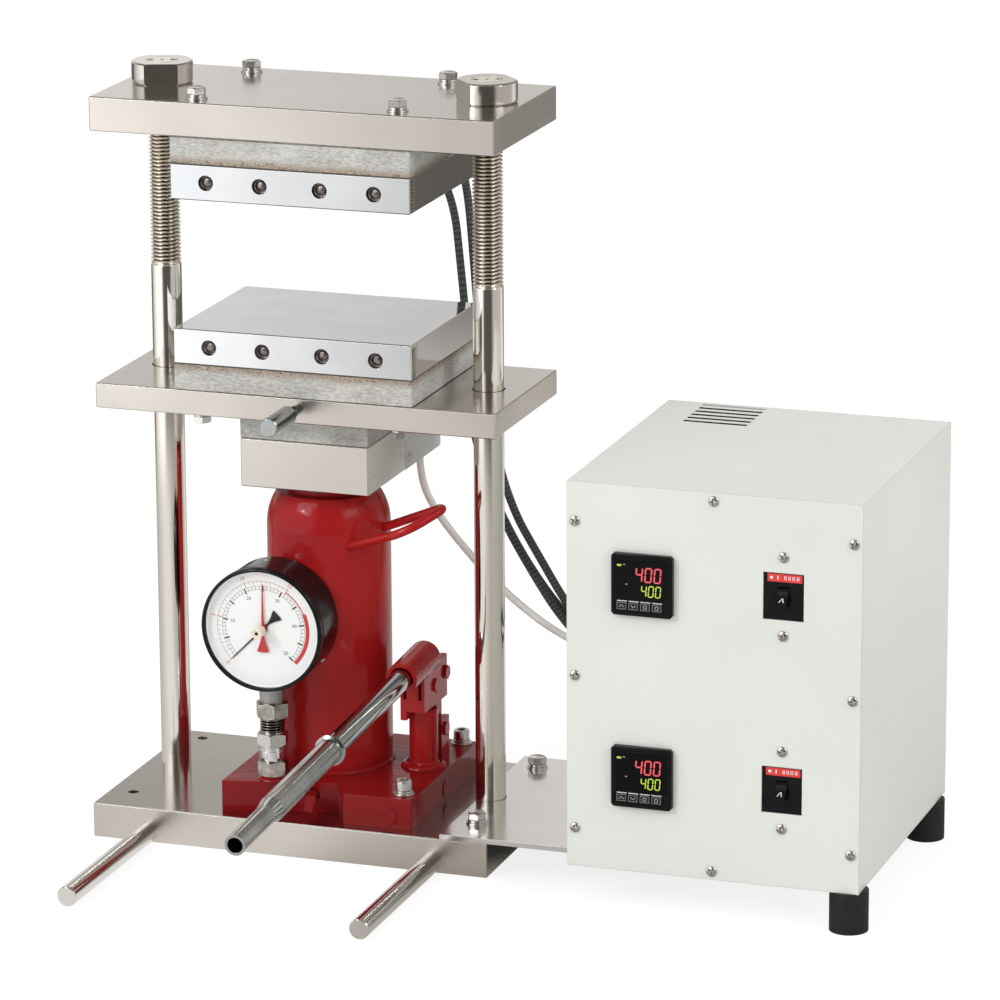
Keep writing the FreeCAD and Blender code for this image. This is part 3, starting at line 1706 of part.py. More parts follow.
SENSOR_ROUTE = (
    (45, 88, 285),
    (45, 88, 264),
    (61, 80, 239),
    (93, 73, 207),
    (124, 69, 180),
    (153, 63, 162),
    (182, 52, 152),
    (207, 42, 148),
    (228.5, 42, 148),
)


def cable(label, route, diameter):
    """A cable along a route, bent as gently as its runs allow."""
    points = [Vector(*point) for point in route]
    radii = []
    for before, corner, after in zip(points, points[1:], points[2:]):
        turn = (corner - before).getAngle(after - corner)
        shorter = min((corner - before).Length, (after - corner).Length)
        radii.append(0.45 * shorter / math.tan(turn / 2))
    path = rounded_route(points, radii)
    solid = tube_along(path, diameter)
    share = solid.Volume / (math.pi * diameter**2 / 4 * path.Length)
    print(f"{label}: length {path.Length:.1f}, least radius {min(radii):.1f}, volume {share:.4f}")
    return solid


def make_cables():
    """The three braided heater leads and the pale sensor lead."""
    diameter = number("heater_cable_diameter")
    leads = []
    for name, route in HEATER_ROUTES.items():
        lead = doc.addObject("Part::Feature", "HeaterLead")
        lead.Shape = cable(f"{name} heater lead", route, diameter)
        leads.append(lead)
    named("heater_leads", group(*leads))
    lead = doc.addObject("Part::Feature", "SensorLead")
    lead.Shape = cable("sensor lead", SENSOR_ROUTE, number("sensor_cable_diameter"))
    named("sensor_lead", lead)


def write_parts():
    """Check every object and write each sub-part to its file."""
    doc.recompute()
    for item in doc.Objects:
        if "Invalid" in item.State or "Error" in item.State:
            raise ValueError(f"{item.Label} did not build: {item.State}")
    os.makedirs("parts", exist_ok=True)
    for label, item in PARTS.items():
        shape = item.Shape
        if shape.isNull() or not shape.isValid() or not shape.Solids:
            raise ValueError(f"{label} has no valid solid")
        shape.exportStep(f"parts/{label}.step")
    print(f"{len(PARTS)} sub-parts")


FLAT_WASHER = washer()
SPRING_WASHER = lock_washer()

make_base_plate()
make_front_rods()
make_columns()
make_plates()
make_column_nuts()
make_insulators()
make_platens()
make_heaters()
make_fasteners()
make_rear_cover()
make_plate_knob()
make_jack_base()
make_release_valve()
make_jack_body()
make_jack_insides()
make_jack_ram()
make_carry_bail()
make_pump()
make_pump_link()
make_handle_socket()
make_handle()
make_gauge_fittings()
make_gauge_case()
make_gauge_front()
make_gauge_stem()
make_gauge_hands()
make_bracket()
make_box()
make_box_screws()
make_box_feet()
make_controllers()
make_buttons()
make_breakers()
make_toggles()
make_glands()
make_cables()
write_parts()
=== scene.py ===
import json
import math

import bmesh
import bpy
from mathutils import Matrix, Vector, noise

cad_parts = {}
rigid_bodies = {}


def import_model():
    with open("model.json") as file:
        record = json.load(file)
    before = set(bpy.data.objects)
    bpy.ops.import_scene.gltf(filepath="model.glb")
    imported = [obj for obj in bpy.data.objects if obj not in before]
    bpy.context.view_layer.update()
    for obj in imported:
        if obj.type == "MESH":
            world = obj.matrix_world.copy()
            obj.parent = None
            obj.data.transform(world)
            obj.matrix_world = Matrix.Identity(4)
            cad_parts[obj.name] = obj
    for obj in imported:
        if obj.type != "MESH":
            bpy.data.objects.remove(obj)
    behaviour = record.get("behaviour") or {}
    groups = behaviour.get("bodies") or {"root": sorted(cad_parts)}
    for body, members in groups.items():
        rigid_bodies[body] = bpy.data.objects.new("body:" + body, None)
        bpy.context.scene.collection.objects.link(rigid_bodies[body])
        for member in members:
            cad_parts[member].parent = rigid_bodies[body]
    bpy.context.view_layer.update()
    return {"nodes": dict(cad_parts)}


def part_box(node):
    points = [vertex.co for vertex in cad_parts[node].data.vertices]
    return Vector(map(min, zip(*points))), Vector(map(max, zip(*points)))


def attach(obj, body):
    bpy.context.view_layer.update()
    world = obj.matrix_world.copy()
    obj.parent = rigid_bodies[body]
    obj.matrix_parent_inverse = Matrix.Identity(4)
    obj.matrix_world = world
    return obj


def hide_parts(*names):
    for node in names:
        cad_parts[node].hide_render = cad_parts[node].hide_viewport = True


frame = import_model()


# Camera: four metres off, to the right of the front and looking a little down, with a long lens. Colours are
# shown as they are lit.
def put(name, data):
    """Put something in the scene."""
    made = bpy.data.objects.new(name, data)
    bpy.context.scene.collection.objects.link(made)
    return made


camera = put("camera", bpy.data.cameras.new("camera"))
camera.data.lens = 198
camera.data.clip_end = 30
camera.location = (1.48648, -3.91423, 1.40219)
camera.rotation_euler = (1.305154, 0.004729, 0.329383)
bpy.context.scene.camera = camera
bpy.context.scene.view_settings.view_transform = "Standard"


# Heater leads: three glass-braided leads from the platens' cartridges down to the box's left wall, and the
# pale sensor lead from the cover behind the spacer block. Each leaves straight and hangs on its own bends.
class Wire:
    """One socket of a material. Arithmetic on it adds the nodes that work the result out."""

    def __init__(self, tree, socket):
        self.tree = tree
        self.socket = socket

    def node(self, kind, settings=None, inputs=None, output=0):
        """Another node of the same material, with its settings and its sockets' values or wires."""
        made = self.tree.nodes.new("ShaderNode" + kind)
        for name, value in (settings or {}).items():
            if name == "stops":
                ramp = made.color_ramp
                ramp.elements.remove(ramp.elements[1])
                ramp.elements[0].position = value[0][0]
                for position, _ in value[1:]:
                    ramp.elements.new(position)
                for element, (_, colour) in zip(ramp.elements, value):
                    element.color = (*colour, 1)
            else:
                setattr(made, name, value)
        for name, value in (inputs or {}).items():
            if isinstance(value, Wire):
                self.tree.links.new(value.socket, made.inputs[name])
            else:
                made.inputs[name].default_value = value
        return Wire(self.tree, made.outputs[output]) if len(made.outputs) else None

    def math(self, operation, first, second=0.0):
        """What an operation makes of two values."""
        return self.node("Math", {"operation": operation}, {0: first, 1: second})

    def __add__(self, other):
        return self.math("ADD", self, other)

    def __sub__(self, other):
        return self.math("SUBTRACT", self, other)

    def __rsub__(self, other):
        return self.math("SUBTRACT", other, self)

    def __mul__(self, other):
        return self.math("MULTIPLY", self, other)

    __radd__ = __add__
    __rmul__ = __mul__

    def ramp(self, low, high):
        """Nothing below one value and all above another, with a smooth rise between them."""
        limits = {"Value": self, "From Min": low, "From Max": high}
        return self.node("MapRange", {"interpolation_type": "SMOOTHSTEP"}, limits)

    def band(self, rise, fall):
        """All between two ramps, the second of which falls."""
        return self.ramp(*rise) * (1.0 - self.ramp(*fall))

    def colours(self, low, high):
        """A colour between two, as far along as this value says."""
        ends = {0: self}
        for index, colour in ((6, low), (7, high)):
            ends[index] = colour if isinstance(colour, Wire) else (*colour, 1)
        return self.node("Mix", {"data_type": "RGBA"}, ends, 2)

    def stretched(self, x, y, z):
        """These coordinates with each axis scaled."""
        return self.node("VectorMath", {"operation": "MULTIPLY"}, {0: self, 1: (x, y, z)})

    def speckle(self, scale, detail=3.0, roughness=0.5):
        """Cloudy noise at these coordinates."""
        shape = {"Vector": self, "Scale": scale, "Detail": detail, "Roughness": roughness}
        return self.node("TexNoise", None, shape)

    def part(self, axis):
        """One of these coordinates."""
        return self.node("SeparateXYZ", None, {0: self}, "XYZ".index(axis))

    def ray(self, kind):
        """One on the rays of a kind, such as Camera or Glossy."""
        return self.node("LightPath", None, None, f"Is {kind} Ray")

    def relief(self, height, distance, edge=0.0004):
        """The normal of a surface with this relief and with its edges rounded off."""
        rounded = self.node("Bevel", {"samples": 4}, {"Radius": edge})
        return self.node("Bump", None, {"Height": height, "Distance": distance, "Normal": rounded})

    def surface(self, **sockets):
        """The finished surface."""
        values = {name.replace("_", " "): value for name, value in sockets.items()}
        for name in ("Base Color", "Emission Color"):
            if name in values and not isinstance(values[name], Wire):
                values[name] = (*values[name], 1)
        principled = self.node("BsdfPrincipled", None, values)
        self.node("OutputMaterial", None, {"Surface": principled})


def emptied(owner, coordinates="Object"):
    """Take the nodes out of a material or world, and give the coordinates of what it covers, in metres."""
    owner.use_nodes = True
    owner.node_tree.nodes.clear()
    return Wire(owner.node_tree, owner.node_tree.nodes.new("ShaderNodeTexCoord").outputs[coordinates])


def new_material(name, coordinates="Object"):
    """An empty material and the coordinates of its surface."""
    material = bpy.data.materials.new(name)
    return material, emptied(material, coordinates)


MM = 1000.0


def new_lead(name, route, thickness, material):
    """A round lead on a smooth line led by a route in millimetres."""
    curve = bpy.data.curves.new(name, "CURVE")
    curve.dimensions = "3D"
    curve.bevel_depth = thickness / 2 / MM
    curve.bevel_resolution = 5
    curve.resolution_u = 14
    curve.use_fill_caps = True
    line = curve.splines.new("NURBS")
    line.points.add(len(route) - 1)
    for point, place in zip(line.points, route):
        point.co = (*(Vector(place) / MM), 1)
    line.order_u = 3
    line.use_endpoint_u = True
    curve.materials.append(material)
    return put(name, curve)


braid, at = new_material("grey glass braid", "UV")
WEAVE_ALONG, WEAVE_ROUND = 420.0, 50.3
along = at.part("X") * WEAVE_ALONG
around = at.part("Y") * WEAVE_ROUND
weave = at.math("SINE", along + around) * at.math("SINE", along - around)
fibre = at.stretched(600, 9, 1).speckle(1.0, 4)
at.surface(
    Base_Color=(weave * 0.35 + fibre).ramp(0.25, 0.85).colours((0.018, 0.022, 0.022), (0.11, 0.125, 0.12)),
    Roughness=fibre * 0.3 + 0.42,
    Normal=at.node("Bump", {}, {"Height": weave, "Distance": 0.0003}),
)
HEATER_THICKNESS = 6.5
HEATER_LEADS = {
    "upper_outer_lead": (0.488, (
        (68.6, 76, 530), (68.6, 111, 530), (72, 130, 497), (80, 122, 436), (89, 111, 366), (100, 104, 300),
        (119, 97, 243), (146, 88, 206), (174, 79, 168), (203, 72, 143), (228.5, 72, 143),
    )),
    "upper_inner_lead": (0.516, (
        (24.5, 76, 530), (24.5, 106, 530), (42, 124, 517), (61, 128, 486), (70, 120, 428), (79, 112, 364),
        (90, 105, 297), (109, 98, 236), (136, 90, 197), (166, 80, 160), (200, 71, 134), (228.5, 71, 134),
    )),
    "lower_outer_lead": (0.363, (
        (68.6, 76, 400), (68.6, 101, 400), (66, 115, 378), (76, 112, 330), (88, 108, 282),
        (106, 106, 236), (134, 99, 194), (166, 90, 160), (201, 79.5, 140), (228.5, 79.5, 140),
    )),
}
for name, (length, route) in HEATER_LEADS.items():
    lead = new_lead(name, route, HEATER_THICKNESS, braid)
    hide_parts("heater_leads")
    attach(lead, "frame")

pale_sheath, at = new_material("pale sensor sheath", "UV")
at.surface(
    Base_Color=at.stretched(40, 3, 1).speckle(1.0).colours((0.84, 0.835, 0.80), (0.93, 0.925, 0.90)),
    Roughness=0.32,
    Subsurface_Weight=0.15,
    Subsurface_Radius=(0.004, 0.004, 0.003),
)
SENSOR_THICKNESS = 6
SENSOR_ROUTE = (
    (45, 88, 285), (45, 88, 264), (61, 80, 239), (93, 73, 207), (124, 69, 180),
    (153, 63, 162), (182, 52, 152), (207, 42, 148), (228.5, 42, 148),
)
lead = new_lead("sensor_lead_sheath", SENSOR_ROUTE, SENSOR_THICKNESS, pale_sheath)
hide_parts("sensor_lead")
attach(lead, "frame")


# Studio: a pale floor that the press stands on, two large soft lamps, two small ones and an even room.
# Mirrors and shiny paint see paper round the press, a dark room in front and bright screens at the sides.
# Each stop of the screens is a share of one turn, which starts and ends behind the press, and its light.
CAMERA_RIGHT, CAMERA_FRONT = 0.3244, 0.9459
TURNS_IN_RADIAN = 0.15915
NEAR = (
    (0.0, 0.40), (0.2, 0.65), (0.33, 0.92), (0.42, 0.92), (0.50, 0.60),
    (0.6, 0.42), (0.78, 0.45), (0.88, 0.90), (1.0, 0.40),
)
AROUND = (
    (0.0, 0.12), (0.08, 0.16), (0.125, 0.08), (0.16, 0.55), (0.23, 1.1), (0.34, 1.7), (0.374, 1.62),
    (0.404, 0.75), (0.430, 0.06), (0.57, 0.06), (0.61, 0.55), (0.77, 0.6), (0.82, 1.1),
    (0.86, 0.95), (0.885, 0.36), (0.93, 0.28), (1.0, 0.12),
)
FAR_AROUND = AROUND[:-4] + ((0.885, 0.16), (0.93, 0.14), (1.0, 0.10))
SKY = (
    (0.0, 0.72), (0.012, 0.98), (0.035, 0.92), (0.10, 0.7), (0.16, 0.45), (0.23, 0.95), (0.34, 1.3),
    (0.40, 1.2), (0.45, 0.12), (0.56, 0.10), (0.62, 0.7), (0.78, 0.8), (0.86, 0.4), (0.95, 0.35),
    (0.985, 1.05), (1.0, 0.72),
)
SKY_ABOVE = ((0.0, 0.60), (0.012, 0.40), (0.035, 0.34)) + SKY[3:-2] + ((0.985, 1.1), (1.0, 0.60))


def screens(at, stops):
    """The light from round about, from the stops of one turn. Dim light is warm."""
    forward = at.part("X") * CAMERA_RIGHT - at.part("Y") * CAMERA_FRONT
    sideways = at.part("X") * CAMERA_FRONT + at.part("Y") * CAMERA_RIGHT
    turn = at.math("ARCTAN2", sideways, forward) * TURNS_IN_RADIAN + 0.5
    shades = []
    for place, level in stops:
        cool = min(level, 1.0)
        shades.append((place, (level, level * (0.89 + 0.10 * cool), level * (0.78 + 0.20 * cool))))
    return at.node("ValToRGB", {"stops": shades}, {0: turn})


floor_paint, at = new_material("pale floor")
seen = at.math("MAXIMUM", at.math("MAXIMUM", at.ray("Camera"), at.ray("Glossy")), at.ray("Transmission"))
mirrored = at.ray("Glossy")
distance = at.node("VectorMath", {"operation": "LENGTH"}, {0: at}, "Value")
paper = 1.0 - distance.ramp(0.95, 1.5)
# In mirrors the floor is painted near-black round the spot under the box: a painted shadow of the box, since
# this glowing floor takes no shadow.
under_box = at.node("VectorMath", {"operation": "DISTANCE"}, {0: at, 1: (0.30, 0.02, 0)}, "Value")
near_with_painted_box_shadow = under_box.ramp(0.13, 0.20).colours((0.02, 0.02, 0.018), screens(at, NEAR))
far_off = distance.ramp(1.5, 2.0).colours(screens(at, AROUND), screens(at, FAR_AROUND))
look = mirrored.colours((1.12, 1.12, 1.12), paper.colours(far_off, near_with_painted_box_shadow))
glow = at.node("Emission", None, {"Color": look, "Strength": 1.0})
matt = at.node("BsdfDiffuse", None, {"Color": (0.86, 0.86, 0.85, 1)})
mixed = at.node("MixShader", None, {0: seen * (0.74 + mirrored * 0.22), 1: matt, 2: glow})
at.node("OutputMaterial", None, {"Surface": mixed})
floor_mesh = bpy.data.meshes.new("floor")
floor_mesh.from_pydata([(-9, -9, 0), (9, -9, 0), (9, 12, 0), (-9, 12, 0)], [], [(0, 1, 2, 3)])
floor_mesh.materials.append(floor_paint)
put("floor", floor_mesh)

room = bpy.data.worlds.new("room")
at = emptied(room, "Generated")
behind = at.part("Z").ramp(0.19, 0.32).colours(screens(at, SKY), screens(at, SKY_ABOVE))
mirror_light = at.part("Z").ramp(0.36, 0.75).colours(behind, (0.26, 0.24, 0.22))
light = at.ray("Glossy").colours((0.80, 0.80, 0.79), mirror_light)
viewed = at.ray("Camera").colours(light, (1.0, 1.0, 1.0))
back = at.node("Background", None, {"Color": viewed, "Strength": 1.0})
at.node("OutputWorld", None, {"Surface": back})
bpy.context.scene.world = room

PRESS_MIDDLE = Vector((0.15, 0, 0.25))
for name, place, size, power in (
    ("key_lamp", (-1.7, -2.4, 2.6), 2.2, 48),
    ("fill_lamp", (2.8, -1.2, 2.2), 1.8, 22),
    ("left_spot", (-1.3, -2.0, 1.5), 0.35, 9),
    ("right_spot", (2.3, -0.6, 1.9), 0.35, 6),
):
    lamp = put(name, bpy.data.lights.new(name, "AREA"))
    lamp.data.size = size
    lamp.data.energy = power
    lamp.location = place
    lamp.rotation_euler = (PRESS_MIDDLE - Vector(place)).to_track_quat("-Z", "Y").to_euler()


# Plates: the base, the moving plate, the top plate and the spacer block, ground steel with a thin bright
# nickel. Their broad faces mirror what stands on them; their sawn and ground edges are duller, with the grain
# along them.
def dress(material, *nodes):
    """Give pieces of the frame their finish."""
    for node in nodes:
        for slot in frame["nodes"][node].material_slots:
            slot.material = material


def level_face(at):
    """One on faces that lie flat, nothing on upright ones."""
    normal = at.node("NewGeometry", None, None, "Normal")
    return at.math("ABSOLUTE", normal.part("Z")).ramp(0.6, 0.95)


nickel, at = new_material("ground nickel plate")
flat = level_face(at)
grain = at.stretched(9, 900, 700).speckle(1.0, 4)
clouds = at.speckle(7.0, 2)
handled = at.speckle(38.0, 4, 0.7)
tone = clouds.ramp(0.3, 0.7).colours((0.60, 0.565, 0.52), (0.70, 0.665, 0.62))
at.surface(
    Base_Color=(flat * 0.6).colours(tone, (0.62, 0.61, 0.595)),
    Metallic=1.0,
    Roughness=0.25 - flat * 0.11 + grain * 0.06 + handled.ramp(0.5, 0.8) * 0.05,
    Normal=at.relief(grain + clouds * 0.6, 0.00001, 0.0003),
)
dress(nickel, "base_plate", "mid_plate", "top_plate", "spacer_block")


# Columns: two ground and polished bars, cut with a coarse thread over their upper part, where the fixed
# plate can be set. They screw into the base plate and end flush with the nuts on the top plate, where each
# has a centre and two pin holes.
class Work:
    """The mesh of one piece as it is made, from measures in millimetres."""

    def __init__(self):
        self.mesh = bmesh.new()

    def corners(self, points, place=None):
        """New corners at a place."""
        place = place or Matrix()
        return [self.mesh.verts.new(place @ Vector(point)) for point in points]

    def face(self, points, place=None):
        """One flat face."""
        self.mesh.faces.new(self.corners(points, place))

    def rim(self, points, place):
        """The edges round an opening."""
        made = self.corners(points, place)
        return [self.mesh.edges.new((made[i], made[i - 1])) for i in range(len(made))]

    def skin(self, rings, place=None, start=True, end=True):
        """Join rings of points into a closed skin, at a place."""
        rows = [self.corners(ring, place) for ring in rings]
        count = len(rows[0])
        for low, high in zip(rows, rows[1:]):
            for i in range(count):
                j = (i + 1) % count
                self.mesh.faces.new((low[i], low[j], high[j], high[i]))
        if start:
            self.mesh.faces.new(reversed(rows[0]))
        if end:
            self.mesh.faces.new(rows[-1])

    def turned(self, outline, place=None, sides=48, closed=False):
        """Turn an outline of radius and height about the upright axis."""
        rings = [ring(radius, height, sides) for radius, height in outline]
        if closed:
            rings.append(rings[0])
        self.skin(rings, place, not closed and outline[0][0] > 0.001, not closed and outline[-1][0] > 0.001)

    def block(self, low, high, place=None, bevel=0.0):
        """A block between two corners, with its upright and top edges taken off."""
        (x0, y0, z0), (x1, y1, z1) = low, high
        rings = []
        for z, inset in ((z0, bevel), (z0 + bevel, 0), (z1 - bevel, 0), (z1, bevel)):
            c = bevel + inset
            front = [(x0 + c, y0 + inset, z), (x1 - c, y0 + inset, z)]
            right = [(x1 - inset, y0 + c, z), (x1 - inset, y1 - c, z)]
            back = [(x1 - c, y1 - inset, z), (x0 + c, y1 - inset, z)]
            left = [(x0 + inset, y1 - c, z), (x0 + inset, y0 + c, z)]
            rings.append(front + right + back + left)
        self.skin(rings, place)

    def done(self, name, material, slot, node=None, body="frame", crease=32):
        """Take the work off as a finished piece of a body, in place of a CAD node where one is named."""
        bmesh.ops.remove_doubles(self.mesh, verts=self.mesh.verts, dist=0.0005)
        bmesh.ops.recalc_face_normals(self.mesh, faces=self.mesh.faces)
        bmesh.ops.scale(self.mesh, vec=[1 / MM] * 3, verts=self.mesh.verts)
        data = bpy.data.meshes.new(name)
        self.mesh.to_mesh(data)
        self.mesh.free()
        data.shade_smooth()
        data.set_sharp_from_angle(angle=math.radians(crease))
        data.materials.append(material)
        piece = put(name, data)
        if node:
            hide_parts(node)
        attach(piece, body)


def uneven_ring(radii, height):
    """A ring of points about the upright axis, one for each radius."""
    angles = [2 * math.pi * i / len(radii) for i in range(len(radii))]
    return [(r * math.cos(a), r * math.sin(a), height) for r, a in zip(radii, angles)]


def ring(radius, height, sides=48):
    """A round ring of points about the upright axis."""
    return uneven_ring([radius] * sides, height)


def spun(degrees, axis="Z"):
    """A turn about an axis."""
    return Matrix.Rotation(math.radians(degrees), 4, axis)


def stand(x, y, z, turn=0.0):
    """A place with its axis upright."""
    return Matrix.Translation((x, y, z)) @ spun(turn)


def reach(node, axis, side):
    """Where a CAD piece begins (side 0) or ends (side 1) along an axis, in millimetres."""
    return round(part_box(node)[side]["XYZ".index(axis)] * MM, 3)


def off_axis(across, along):
    """The distance from an upright line."""
    return across.math("SQRT", across * across + along * along)


def thread(low, high, major, minor, pitch, sides=40):
    """The rings of a screw thread that winds up from one height to another."""
    rings = []
    steps = round((high - low) / pitch * 8)
    for k in range(steps + 1):
        z = low + (high - low) * k / steps
        fade = max(0.0, min(1.0, (z - low) / pitch, (high - z) / pitch * 2 + 0.4))
        radii = []
        for i in range(sides):
            phase = (z / pitch - i / sides) % 1.0
            depth = min(1.0, max(0.0, (1 - abs(2 * phase - 1)) * 1.3 - 0.12))
            radii.append(major - (major - minor) * depth * fade)
        rings.append(uneven_ring(radii, z))
    return rings


COLUMN_RADIUS = 12
COLUMN_X = reach("columns", "X", 1) - COLUMN_RADIUS
COLUMN_TOP = reach("columns", "Z", 1)
THREAD_FOOT, THREAD_ROOT, THREAD_PITCH = 446, 9.7, 3
COLUMN_RING = (11.3, COLUMN_TOP, 40)
COLUMN_HOLES = ((7.9, 3.2, 2.3, 2.3, 6), (-7.9, -3.2, 2.3, 2.3, 6), (0, 0, 1.6, 0.3, 1.5))
polished, at = new_material("polished column steel")
drawn = at.stretched(60, 60, 500).speckle(1.0, 3)
rubbed = at.stretched(400, 400, 6).speckle(1.0, 3)
height = at.part("Z")
threaded = height.ramp((THREAD_FOOT - 0.5) / MM, (THREAD_FOOT + 0.5) / MM)
radius = off_axis(at.math("ABSOLUTE", at.part("X")) - COLUMN_X / MM, at.part("Y"))
# On the thread the roots are painted dark as painted shade, and the crests and the column's end face painted
# pale as painted highlight.
crest = at.math("MAXIMUM", radius.ramp(0.0098, 0.0107), height.ramp(0.6082, 0.6088))
# Inside the centre and pin holes the steel is painted near-black: painted shade.
hole_painted_shade = height.band((0.6015, 0.6025), (0.6086, 0.60895)) * (1.0 - radius.ramp(0.0108, 0.0112))
thread_painted_light = hole_painted_shade.colours(crest.colours((0.17, 0.14, 0.11), (0.88, 0.83, 0.75)), (0.01, 0.01, 0.01))
at.surface(
    Base_Color=threaded.colours((0.80, 0.765, 0.705), thread_painted_light),
    Metallic=1.0,
    Roughness=threaded * 0.08 + 0.07 + rubbed * 0.05,
    Normal=at.relief(drawn + rubbed, 0.000006, 0.0003),
)
for name, x in (("left_column", -COLUMN_X), ("right_column", COLUMN_X)):
    work = Work()
    shaft = [ring(COLUMN_RADIUS, z, 40) for z in (reach("columns", "Z", 0), 28, 200, 440, THREAD_FOOT)]
    cut = thread(THREAD_FOOT + 0.3, COLUMN_TOP - 1, COLUMN_RADIUS, THREAD_ROOT, THREAD_PITCH)
    top = [ring(11.7, COLUMN_TOP - 0.6, 40), ring(*COLUMN_RING)]
    work.skin(shaft + cut + top, stand(x, 0, 0), end=False)
    edges = work.rim(ring(*COLUMN_RING), stand(x, 0, 0))
    for across, along, mouth, bottom, deep in COLUMN_HOLES:
        place = stand(x + across, along, 0)
        hole = [ring(mouth, COLUMN_TOP, 24), ring(bottom, COLUMN_TOP - deep, 24)]
        work.skin(hole, place, start=False)
        edges += work.rim(hole[0], place)
    bmesh.ops.triangle_fill(work.mesh, use_beauty=True, edges=edges)
    work.done(name, polished, "column_steel", "columns", crease=40)


# Column nuts: turned steel rounds with two spanner flats. They are screwed down on the columns' threads and
# hold the top plate.
nut_metal, at = new_material("turned nut steel")
lines = at.stretched(20, 20, 1400).speckle(1.0, 3)
at.surface(
    Base_Color=at.speckle(30.0).colours((0.62, 0.595, 0.555), (0.72, 0.695, 0.66)),
    Metallic=1.0,
    Roughness=lines * 0.10 + 0.05,
    Normal=at.relief(lines, 0.00002, 0.0004),
)
dress(nut_metal, "column_nuts")


# Front bars: two plain bars of bright drawn steel. They are screwed into the base plate's front and steady
# the press.
def coat(name, grain, low, high, rough, relief=None, stretch=None, **others):
    """A material led by one grain: its two colours, its roughness (rise and least) and its relief."""
    material, at = new_material(name)
    cloud = (at.stretched(*stretch) if stretch else at).speckle(*grain)
    if relief:
        others["Normal"] = at.relief(cloud, *relief)
    at.surface(Base_Color=cloud.colours(low, high), Roughness=cloud * rough[0] + rough[1], **others)
    return material


bright_bar = coat(
    "bright drawn bar", (1.0, 3), (0.66, 0.64, 0.61), (0.76, 0.745, 0.72), (0.10, 0.07), (0.00001, 0.0004),
    stretch=(600, 6, 600), Metallic=1.0,
)
dress(bright_bar, "front_rods")


# Boards: pressed fibre and cement that keep the heat out of the plates, sawn square and held by the platen
# bolts. Heat has browned and speckled each along the side that lies on its platen.
BOARD_THICKNESS = 21.0
for name, node, way, burn in (
    ("board over the upper platen", "upper_insulator", 1, 1.0),
    ("board under the lower platen", "lower_insulator", -1, 1.0),
    ("board on the spacer block", "spacer_insulator", 1, 0.0),
):
    board, at = new_material(name)
    fibre = at.stretched(260, 260, 800).speckle(1.0, 5, 0.65)
    patches = at.stretched(30, 30, 60).speckle(1.0, 3)
    grit = at.speckle(900.0, 2)
    hot_face = reach(node, "Z", 0 if way > 0 else 1) / MM
    depth = (at.part("Z") - hot_face) * (way * MM)
    heat = (1.0 - (depth + patches * -8.0).ramp(-3.5, 4.0)) * burn
    burnt = heat * (fibre * 1.6).ramp(0.4, 1.0)
    pale = (fibre * 0.8 + patches * 0.4).ramp(0.35, 0.8).colours((0.27, 0.26, 0.24), (0.56, 0.55, 0.52))
    brown = burnt.colours(pale, (0.27, 0.19, 0.125))
    speckled = (heat * grit.ramp(0.54, 0.66)).colours(brown, (0.09, 0.055, 0.035))
    joint = 1.0 - depth.band((0.1, 0.9), (BOARD_THICKNESS - 1.0, BOARD_THICKNESS - 0.2))
    at.surface(
        Base_Color=(joint * (1.0 - level_face(at))).colours(speckled, (0.03, 0.027, 0.025)),
        Roughness=0.86,
        Normal=at.relief(fibre + grit * 0.5, 0.0005, 0.0005),
    )
    dress(board, node)


# Platens: two thick steel plates bored for the cartridges. They are ground and then plated to a mirror with
# a faint blue, and the bolts draw each against its board.
mirror_plate, at = new_material("mirror platen plate")
ground = at.stretched(10, 800, 800).speckle(1.0, 4)
wiped = at.speckle(22.0, 3)
ends = at.node("NewGeometry", None, None, "Normal").part("X").ramp(0.6, 0.9)
plated = wiped.ramp(0.35, 0.7).colours((0.66, 0.685, 0.71), (0.73, 0.75, 0.77))
# The right-hand ends are painted near-white on the lower platen as painted highlight and mid-grey on the
# upper platen as painted shade.
end_painted_light_and_shade = at.part("Z").ramp(0.45, 0.5).colours((0.96, 0.96, 0.95), (0.45, 0.45, 0.44))
at.surface(
    Base_Color=ends.colours(plated, end_painted_light_and_shade),
    Metallic=1.0,
    Roughness=ground * 0.05 + wiped.ramp(0.45, 0.8) * 0.05 + 0.045,
    Normal=at.relief(ground, 0.000006, 0.00025),
)
dress(mirror_plate, "upper_platen", "lower_platen")


# Cartridges: four steel-sheathed heaters in each platen, pushed in from the back. The front end of each sits
# a little in from the face, a rolled rim about a dull domed plug.
def middle(node, axis):
    """The middle of a CAD piece along an axis, in millimetres."""
    return (reach(node, axis, 0) + reach(node, axis, 1)) / 2


def on_front(x, y, z):
    """A place whose axis points to the front."""
    return stand(x, y, z) @ spun(90, "X")


CARTRIDGE_X = (-68.6, -24.5, 24.5, 68.6)
CARTRIDGE = [(0, 73), (1.6, 72.9), (3.0, 72.4), (3.7, 71.4), (3.9, 70.6), (4.5, 70.6), (4.7, 72.4)]
CARTRIDGE += [(5.2, 72.9), (5.7, 72.7), (6, 72.2), (6, -76), (0, -76)]
sheath, at = new_material("heat-dulled cartridge")
scale = at.speckle(260.0, 3)
at.surface(
    Base_Color=scale.ramp(0.3, 0.75).colours((0.13, 0.115, 0.11), (0.40, 0.35, 0.34)),
    Metallic=0.85,
    Roughness=scale * 0.3 + 0.22,
    Normal=at.relief(scale, 0.00008, 0.0003),
)
for row, body in (("upper", "frame"), ("lower", "moving_plate")):
    work = Work()
    for x in CARTRIDGE_X:
        work.turned(CARTRIDGE, on_front(x, 0, middle(f"{row}_platen", "Z")), 32)
    work.done(f"{row}_cartridges", sheath, "heater_sheath", f"{row}_heaters", body)


